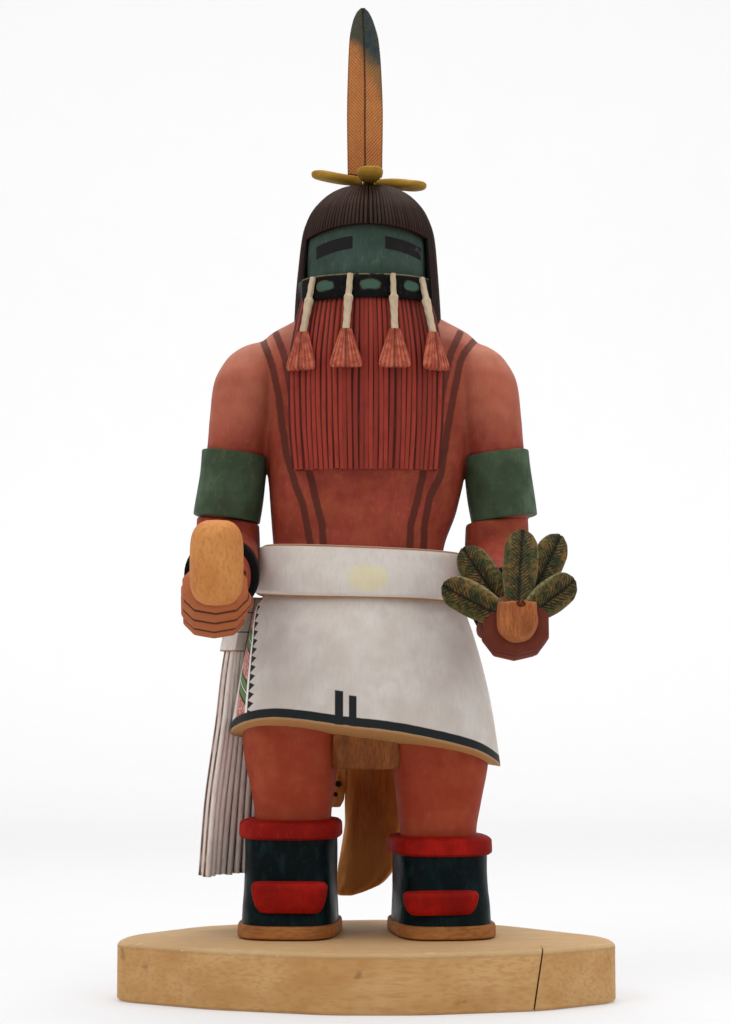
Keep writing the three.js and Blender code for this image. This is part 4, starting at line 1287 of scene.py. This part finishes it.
def leaf(i, fan, reach, turn, size, finish):
    length, half, thick = LEAF_LENGTH * size, LEAF_HALF, LEAF_THICK
    form = carve(
        [
            (0, 0, 0, half * 0.5, thick * 0.8), (length * 0.3, 0, 0, half * 0.8, thick * 0.95),
            (length * 0.6, 0, 0, half, thick), (length * 0.82, 0, 0, half * 0.93, thick * 0.95),
            (length * 0.94, 0, 0, half * 0.64, thick * 0.75),
            (length, 0, 0, half * 0.2, thick * 0.4),
        ],
        72, 70, crowd=0.8,
        relief=lambda a, s: -0.7 * np.abs(np.cos(a)) ** 40 + 0.1 * np.sin(5 * a + 9 * s),
    )
    form.measured().turned("Z", turn).turned("Y", fan).turned("X", -LEAF_LEAN)
    form.moved(*on_grip(HANDS["left"], reach))
    piece(f"carved_leaf_{i}", form, f"sprig_leaf_{i}", finish)


# The headdress

CROWN_Y = 8.5


def head_feather(finish):
    low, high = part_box("head_feather")
    half = (high.x - low.x) / 2 / SQUARE
    foot = 4.8
    length = (high.z - low.z) / SQUARE - foot
    thick = 1.3
    rows = [
        (0, 0, 0, half * 0.96, thick), (length * 0.35, 0, 0, half, thick),
        (length * 0.62, -0.1, 0, half * 0.93, thick * 0.95),
        (length * 0.8, -0.3, 0, half * 0.82, thick * 0.85),
        (length * 0.91, -0.6, 0, half * 0.6, thick * 0.75),
        (length * 0.975, -0.7, 0, half * 0.34, thick * 0.6),
        (length, -0.7, 0, half * 0.12, thick * 0.4),
    ]
    blade = carve(
        rows, 80, 120, square=3, crowd=0.8, relief=lambda a, s: -0.4 * np.abs(np.cos(a)) ** 90,
        lift=lambda a, s: -(0.75 + 0.55 * np.sin(a)) * (1 - s) ** 12,
    )
    centre = curve_through(rows, blade.corners[:, 2])
    blade.marks["spine"] = centre[:, 0] - 1.2 + HEAD_X
    blade.marks["rim"] = np.abs(blade.corners[:, 0] - centre[:, 0]) / centre[:, 2]
    blade.moved(-1.2, 0, foot)
    quill = carve([(0, 0, 0, 1.7, 1.15), (foot + 1, 0, 0, 1.7, 1.15)], 24, 4)
    quill.marks["spine"] = np.full(len(quill.corners), -99.0)
    for form in (blade, quill):
        form.moved(HEAD_X, CROWN_Y, CROWN + SEAM)
    piece("head_feather_carving", [blade, quill], "head_feather", finish)


PETALS = {
    "front": dict(turn=2, rise=1), "right": dict(turn=-96, rise=10),
    "left": dict(turn=94, rise=-2.5), "back": dict(turn=178, rise=2),
}


def petal(which, turn, rise, finish):
    length, half, thick = 17, 4.3, 1.6
    form = carve(
        [
            (0, 0, 0, half * 0.36, thick * 0.96), (length * 0.4, 0, 0, half * 0.86, thick),
            (length * 0.75, 0, 0, half, thick * 0.95),
            (length * 0.93, 0, 0, half * 0.72, thick * 0.75),
            (length, 0, 0, half * 0.3, thick * 0.4),
        ],
        64, 50, square=2.6, crowd=0.8, relief=lambda a, s: 0.1 * np.sin(3 * a + 8 * s),
    )
    form.moved(0, 0, 1.7 + 2 * SEAM).turned("X", 90 - rise).turned("Z", turn)
    form.moved(HEAD_X, CROWN_Y, CROWN + thick + SEAM)
    piece(f"paddle_{which}", form, f"petal_{which}", finish, worn=0.4)


BEARD_FEATHERS = [
    dict(top=(-17, -9.4, 210.8), end=(-20, -13.6, 192.2), spread=4),
    dict(top=(-4.9, -15.7, 211), end=(-6.2, -17.8, 192.6), spread=0),
    dict(top=(8.8, -15.5, 211), end=(9.3, -17.8, 192.6), spread=0),
    dict(top=(18.2, -9, 210.8), end=(21.6, -13.6, 192.2), spread=-6),
]


def beard_feather(i, top, end, spread, finishes):
    fall = math.dist(top, end)
    width, thick = 1.3, 0.9
    string = carve(
        [
            (0, 0, 0, width * 0.66, thick), (fall * 0.36, 0, 0, width * 0.7, thick),
            (fall * 0.42, 0, 0, width * 1.16, thick * 1.25),
            (fall * 0.48, 0, 0, width * 1.06, thick * 1.15), (fall * 0.8, 0, 0, width * 0.84, thick),
            (fall + 1, 0, 0, width * 0.92, thick),
        ],
        32, 60, square=3, relief=lambda a, s: 0.05 * np.sin(3 * a + 34 * s),
    ).along(top, end)
    length, half, deep = 12.4, 5.1, 1.5
    down = carve(
        [
            (0, 0, 0, half * 0.36, deep * 0.8), (length * 0.5, 0, 0, half * 0.74, deep),
            (length * 0.93, 0, 0, half, deep), (length, 0, 0, half * 0.9, deep * 0.7),
        ],
        96, 40, square=2.6, relief=lambda a, s: -0.12 * (1 - np.cos(a * 24)) * s,
    )
    down.measured().along(end, (end[0] - spread * 0.2, end[1] - 1.6, end[2] - length))
    node = f"beard_feather_{i}"
    piece(f"white_string_{i}", string, node, finishes["string"], worn=0.2)
    piece(f"red_down_{i}", down, node, finishes["down"], worn=0.2)


# The sash at the right hip

SASH_WIDTH, SASH_THICK = 35, 4.4
SASH_TOP, FRINGE_TOP, FRINGE_LOW = 107, 90.4, 17.4
CORDS = 13
SASH = [
    (FRINGE_LOW, -51, 7, 1), (40, -49.2, 6.6, 0.95), (58, -46.9, 6.4, 0.88), (68, -45.6, 6.2, 0.84),
    (82, -44.2, 6, 0.76), (FRINGE_TOP, -43, 6, 0.7), (SASH_TOP, -39.6, 6, 0.66),
]


def sash_place(across, out, z):
    """A place on the sash: across from its front edge, out from its middle, and its height."""
    edge_x, edge_y, share = curve_through(SASH, z).T
    turn = np.radians(66 - 34 * np.clip(across / SASH_WIDTH, 0, 1))
    run = share * across
    x = edge_x + run * np.cos(turn) - (out + SASH_THICK / 2) * np.sin(turn)
    y = edge_y + run * np.sin(turn) + (out + SASH_THICK / 2) * np.cos(turn)
    return np.stack([x, y, z], axis=1)


def sash(finishes):
    heights = np.linspace(FRINGE_LOW + 0.3, FRINGE_TOP + 1, 40)
    pitch = SASH_WIDTH / CORDS
    chance = np.random.default_rng(3)
    paths = []
    for out in (-1, 1):
        for i in range(CORDS):
            z = heights + chance.uniform(-0.4, 0.5) * (heights < 30)
            across = np.full(len(z), (i + 0.5) * pitch) + 0.2 * np.sin(z / 11 + i)
            share = curve_through(SASH, z)[:, 2]
            paths.append((sash_place(across, out * 0.85 + 0 * z, z)[::-1], share[::-1]))
    cords = strands("sash_cords", paths, pitch * 1.04, finishes["sash"], sides=12)
    # Cords count as crests where they face out of the sash; the finish paints the rest as painted
    # shade.
    facing = np.abs(normals_of(cords.data) @ np.array([-0.75, 0.66, 0]))
    mark(cords.data, "ridge", np.clip(facing, 0, 1))
    finish_piece(cords, "sash", finishes["sash"], sharp=70)
    woven = []
    z = np.linspace(FRINGE_TOP, SASH_TOP + 1.2, 30)
    columns = np.linspace(-0.7, SASH_WIDTH + 0.7, 40)
    half = SASH_THICK / 2 + 0.7
    loop = [(c, -half) for c in columns] + [(c, half) for c in columns[::-1]]
    for height in z:
        for across, out in loop:
            place = sash_place(np.array([across]), np.array([out]), np.array([height]))
            woven.append(place[0])
    sides = len(loop)
    marks = {
        "across": np.tile([c for c, _ in loop], len(z)), "up": np.repeat(z - FRINGE_TOP, sides)
    }
    piece(
        "woven_sash_end", Form(woven, stack_faces(len(z), sides), marks), "sash", finishes["woven"],
        worn=0.4,
    )


def woven_finish():
    """The woven end of the sash: white with fine black lines in a grid."""
    paint = Paint("woven_sash_paint")
    rough, height = brushed(paint, "e2d9d2", "cbbfb5", "8c6848", wear=0.3)
    across, up = paint.marked("across"), paint.marked("up")
    grid = ((across + 5.2) / 12.7).fraction().under(0.045, 0.012)
    grid = grid.most(((up - 6.1) / 6.4).fraction().under(0.07, 0.02))
    paint.coat(grid * 0.8, "2a2723")
    paint.coat(up.under(0.45, 0.15) * 0.8, "9a6c42")
    return paint.spread(rough, height)


def fox_skin(finishes):
    half, thick = 11.5, 3.5
    tail = carve(
        [
            (8.4, -6.6, 39.4, half * 0.2, thick * 0.4), (9.8, -5.2, 39.4, half * 0.46, thick * 0.7),
            (12.6, -1.9, 39.5, half * 0.68, thick * 0.95), (20, 1, 40, half * 0.87, thick),
            (34, 3.6, 40.6, half * 0.92, thick), (52, 2.8, 41.4, half * 0.86, thick),
            (70, 1, 40.2, half * 0.9, thick), (92, 0, 35.6, half * 0.8, thick * 0.9),
            (108, 0, 33.4, half * 0.7, thick * 0.7),
        ],
        96, 90, square=2.5, relief=lambda a, s: 0.25 * np.sin(8 * a) * np.sin(25 * s),
    )
    forms = [tail]
    for side, low in ((-1, 38), (1, 41)):
        forms.append(
            carve(
                [
                    (low, side * 10.6, 40.4, 2, thick * 0.4),
                    (low + 3, side * 10.8, 40.6, 3.6, thick * 0.7),
                    (low + 12, side * 9.6, 41.4, 4, thick * 0.8),
                    (low + 26, side * 6, 40.6, 4, thick * 0.8),
                ],
                48, 30, square=2.6,
            ),
        )
    piece("fox_skin_carving", forms, "fox_skin", finishes["fox"], worn=0.3)


# The slab

SLAB_CORNERS = [
    (-1.02, -0.38), (-0.62, -0.76), (-0.14, -1.01), (0.22, -1.01), (0.7, -0.82), (1.02, -0.45),
    (1.0, -0.08), (0.6, 0.64), (0.1, 1.02), (-0.26, 0.94), (-0.72, 0.56), (-0.99, 0.02),
]
SLAB_WIDTH, SLAB_DEPTH, SLAB_CORNER = 154, 90, 6
CRACK_WIDTH, CRACK_DEPTH = 0.7, 13


def slab_outline(inset):
    """The slab's outline, with each corner rounded."""
    corners = [
        Vector((x * SLAB_WIDTH / 2, y * SLAB_DEPTH / 2)) * (1 - 2 * inset / SLAB_DEPTH)
        for x, y in SLAB_CORNERS
    ]
    points = []
    for i, corner in enumerate(corners):
        before, after = corners[i - 1], corners[(i + 1) % len(corners)]
        ends = []
        for other in (before, after):
            gap = (other - corner).length
            ends.append(corner.lerp(other, min(SLAB_CORNER, gap / 2.2) / gap))
        for t in np.linspace(0, 1, 9):
            points.append(ends[0] * (1 - t) ** 2 + corner * 2 * t * (1 - t) + ends[1] * t**2)
    return points


def slab(finish):
    thick = (SLAB_HIGH.z - SLAB_LOW.z) / MM
    levels = [(0, 1.0), (0.3, 0.4), (1.0, 0), (thick / 2, 0)]
    levels += [(thick - 1.2, 0.0), (thick - 0.35, 0.35), (thick, 1.2)]
    corners = []
    for z, inset in levels:
        corners += [(p.x, p.y, z) for p in slab_outline(inset)]
    sides = len(corners) // len(levels)
    faces = stack_faces(len(levels), sides)
    thing = raw_object("wood_slab", Form(to_squares(np.array(corners) * MM), faces))
    x, y = 0.66 * SLAB_WIDTH / 2, -0.84 * SLAB_DEPTH / 2
    wedge = []
    for z in (-4, thick + 4):
        shift = (z * 3 / thick) + x
        wedge += [
            (shift - CRACK_WIDTH / 2, y - 4, z), (shift + CRACK_WIDTH / 2, y - 4, z),
            (shift, y + CRACK_DEPTH, z),
        ]
    sides_of_wedge = [(0, 2, 1), (3, 4, 5), (0, 1, 4, 3), (1, 2, 5, 4), (2, 0, 3, 5)]
    placed = to_squares(np.array(wedge) * MM)
    cut(thing, raw_object("crack", Form(placed, sides_of_wedge)))
    finish_piece(thing, "base", finish, sharp=30)


# Camera, light and floor

IMAGE_HEIGHT = 1024
FOCAL_PIXELS = 2145
SENSOR = 36
CAMERA_PLACE = (0.0, -0.695, 0.100)
CAMERA_PITCH = 4.47


def studio():
    camera = bpy.data.cameras.new("camera")
    camera.sensor_fit = "VERTICAL"
    camera.sensor_height = SENSOR
    camera.lens = FOCAL_PIXELS / IMAGE_HEIGHT * SENSOR
    camera.clip_start = 0.01
    eye = put("camera", camera)
    eye.location = CAMERA_PLACE
    eye.rotation_euler = (math.radians(90 + CAMERA_PITCH), 0, 0)
    bpy.context.scene.camera = eye
    world = bpy.data.worlds.new("white_room")
    world.use_nodes = True
    world.node_tree.nodes["Background"].inputs[0].default_value = (1, 1, 1, 1)
    world.node_tree.nodes["Background"].inputs[1].default_value = 0.5
    bpy.context.scene.world = world
    for name, place, size, power in (
        ("key", (-0.8, -0.6, 1.1), 0.8, 5.6), ("fill", (0.9, -0.6, 0.8), 0.9, 3.0),
        ("top", (0.1, 0.1, 1.3), 0.9, 10.0),
    ):
        lamp = bpy.data.lights.new(name, "AREA")
        lamp.size = size
        lamp.energy = power
        thing = put(name, lamp)
        thing.location = place
        aim = Vector((0, 0, 0.14)) - Vector(place)
        thing.rotation_euler = aim.to_track_quat("-Z", "Y").to_euler()
    backdrop()
    bpy.context.scene.view_settings.view_transform = "Standard"


def backdrop():
    """A white sweep: floor, a wide bend, and a wall."""
    front, behind, bend, wall_top, half_width = -4, 0.9, 0.7, 2.6, 4
    profile = [(front, 0), (behind, 0)]
    for t in np.linspace(0, math.pi / 2, 17)[1:]:
        profile.append((behind + bend * math.sin(t), bend * (1 - math.cos(t))))
    profile.append((behind + bend, wall_top))
    corners = [(x, y, z) for y, z in profile for x in (-half_width, half_width)]
    faces = [(2 * i, 2 * i + 1, 2 * i + 3, 2 * i + 2) for i in range(len(profile) - 1)]
    mesh = bpy.data.meshes.new("backdrop")
    mesh.from_pydata(corners, [], faces)
    mesh.shade_smooth()
    thing = put("backdrop", mesh)
    paper = Paint("white_paper")
    grain = paper.noise(30)
    wall = paper.y.over(1.0 / SQUARE, 0.5 / SQUARE)
    paper.tone = paper.mix(wall, "c5c5c6", "c9c9ca")
    paper.coat(grain * 0.1, "a0a0a2")
    glow = paper.mix(wall, (0.27, 0.27, 0.27, 1), (0.49, 0.49, 0.49, 1))
    feed(paper.shader.inputs["Emission Color"], glow)
    paper.shader.inputs["Emission Strength"].default_value = 1.0
    mesh.materials.append(paper.spread(0.9 + 0 * grain, 0 * grain, shine=0.1))


def doll():
    skin = skin_finish()
    finishes = {
        "right_hand": skin_finish("brown_hand_paint", stripes=False),
        # The left hand's dark red paint is darkened further: painted shade.
        "left_hand": skin_finish("dark_red_shaded_hand_paint", stripes=False, hand="52200f"),
        "guard": plain_paint(
            "black_guard_paint", "0f0d0c", "090808", "3a322c", shine=0.08, wear=0.1
        ),
        "mask": mask_finish(), "collar": collar_finish(),
        "string": plain_paint("cream_string_paint", "c4b094", "a8947a", "9a7a50"),
        "down": down_finish(),
        "sash": strand_finish(
            "sash_cord_paint", "f4eae3", "5c3422", "cdb8a8", 2.0, crest=0.38, dark=0.1
        ),
        "woven": woven_finish(),
        "fox": wood_finish(
            "brown_stained_wood", "ae5f20", "783a10", "c67c36", along=(1, 1, 8), marks=fox_marks
        ),
    }
    hair_paint = strand_finish(
        "dark_hair_paint", "38251c", "080504", "2c1913", 0.97, shine=0.1, crest=0.62
    )
    beard_paint = strand_finish("brick_beard_paint", "973426", "49150f", "6f2318", 2.0, crest=0.28)
    cuff_paint = plain_paint(
        "red_cuff_paint", "a3150a", "760d06", "b84a34", shine=0.1, wear=0.12, patches=0.9
    )
    boots = {
        "sole": wood_finish("sole_wood", "a86c36", "7c461e", "c08a52", along=(5, 5, 1)),
        "upper": boot_finish(), "cuff": cuff_paint, "flap": cuff_paint,
    }
    gourd = wood_finish("gourd_wood", "c78446", "b16a34", "d9a062", along=(1, 1, 2), size=2.6)
    slab(
        wood_finish(
            "cottonwood_slab", "c39660", "b07f49", "d6b584", along=(7, 1, 1.2), size=2.3,
            marks=slab_marks,
        ),
    )
    for which in LEGS:
        boot(which, boots)
    painted_body(skin)
    thigh_block(wood_finish("raw_wood", "8d5225", "5f3012", "a3673a", along=(1, 1, 5)))
    kilt(kilt_finish())
    rolled_belt(white_finish())
    green = plain_paint("green_arm_band_paint", "4c6049", "303c29", "7c6a3c", patches=0.8, wear=0.2)
    arm_band("right", -1, green)
    arm_band("left", 1, green)
    mask(finishes)
    hair(hair_paint)
    beard(beard_paint)
    for which in HANDS:
        forearm(which, finishes)
    rattle(gourd)
    stem(wood_finish("stem_wood", "a8602f", "71381a", "c08050", along=(1, 1, 6), size=1.2))
    leaf_paint = leaf_finish()
    for i, habits in enumerate(LEAVES, 1):
        leaf(i, finish=leaf_paint, **habits)
    head_feather(feather_finish())
    yellow = plain_paint("ochre_petal_paint", "a8812c", "8a6420", "c29a48", patches=0.7, wear=0.3)
    for which, habits in PETALS.items():
        petal(which, finish=yellow, **habits)
    for i, habits in enumerate(BEARD_FEATHERS, 1):
        beard_feather(i, finishes=finishes, **habits)
    sash(finishes)
    fox_skin(finishes)


studio()
doll()
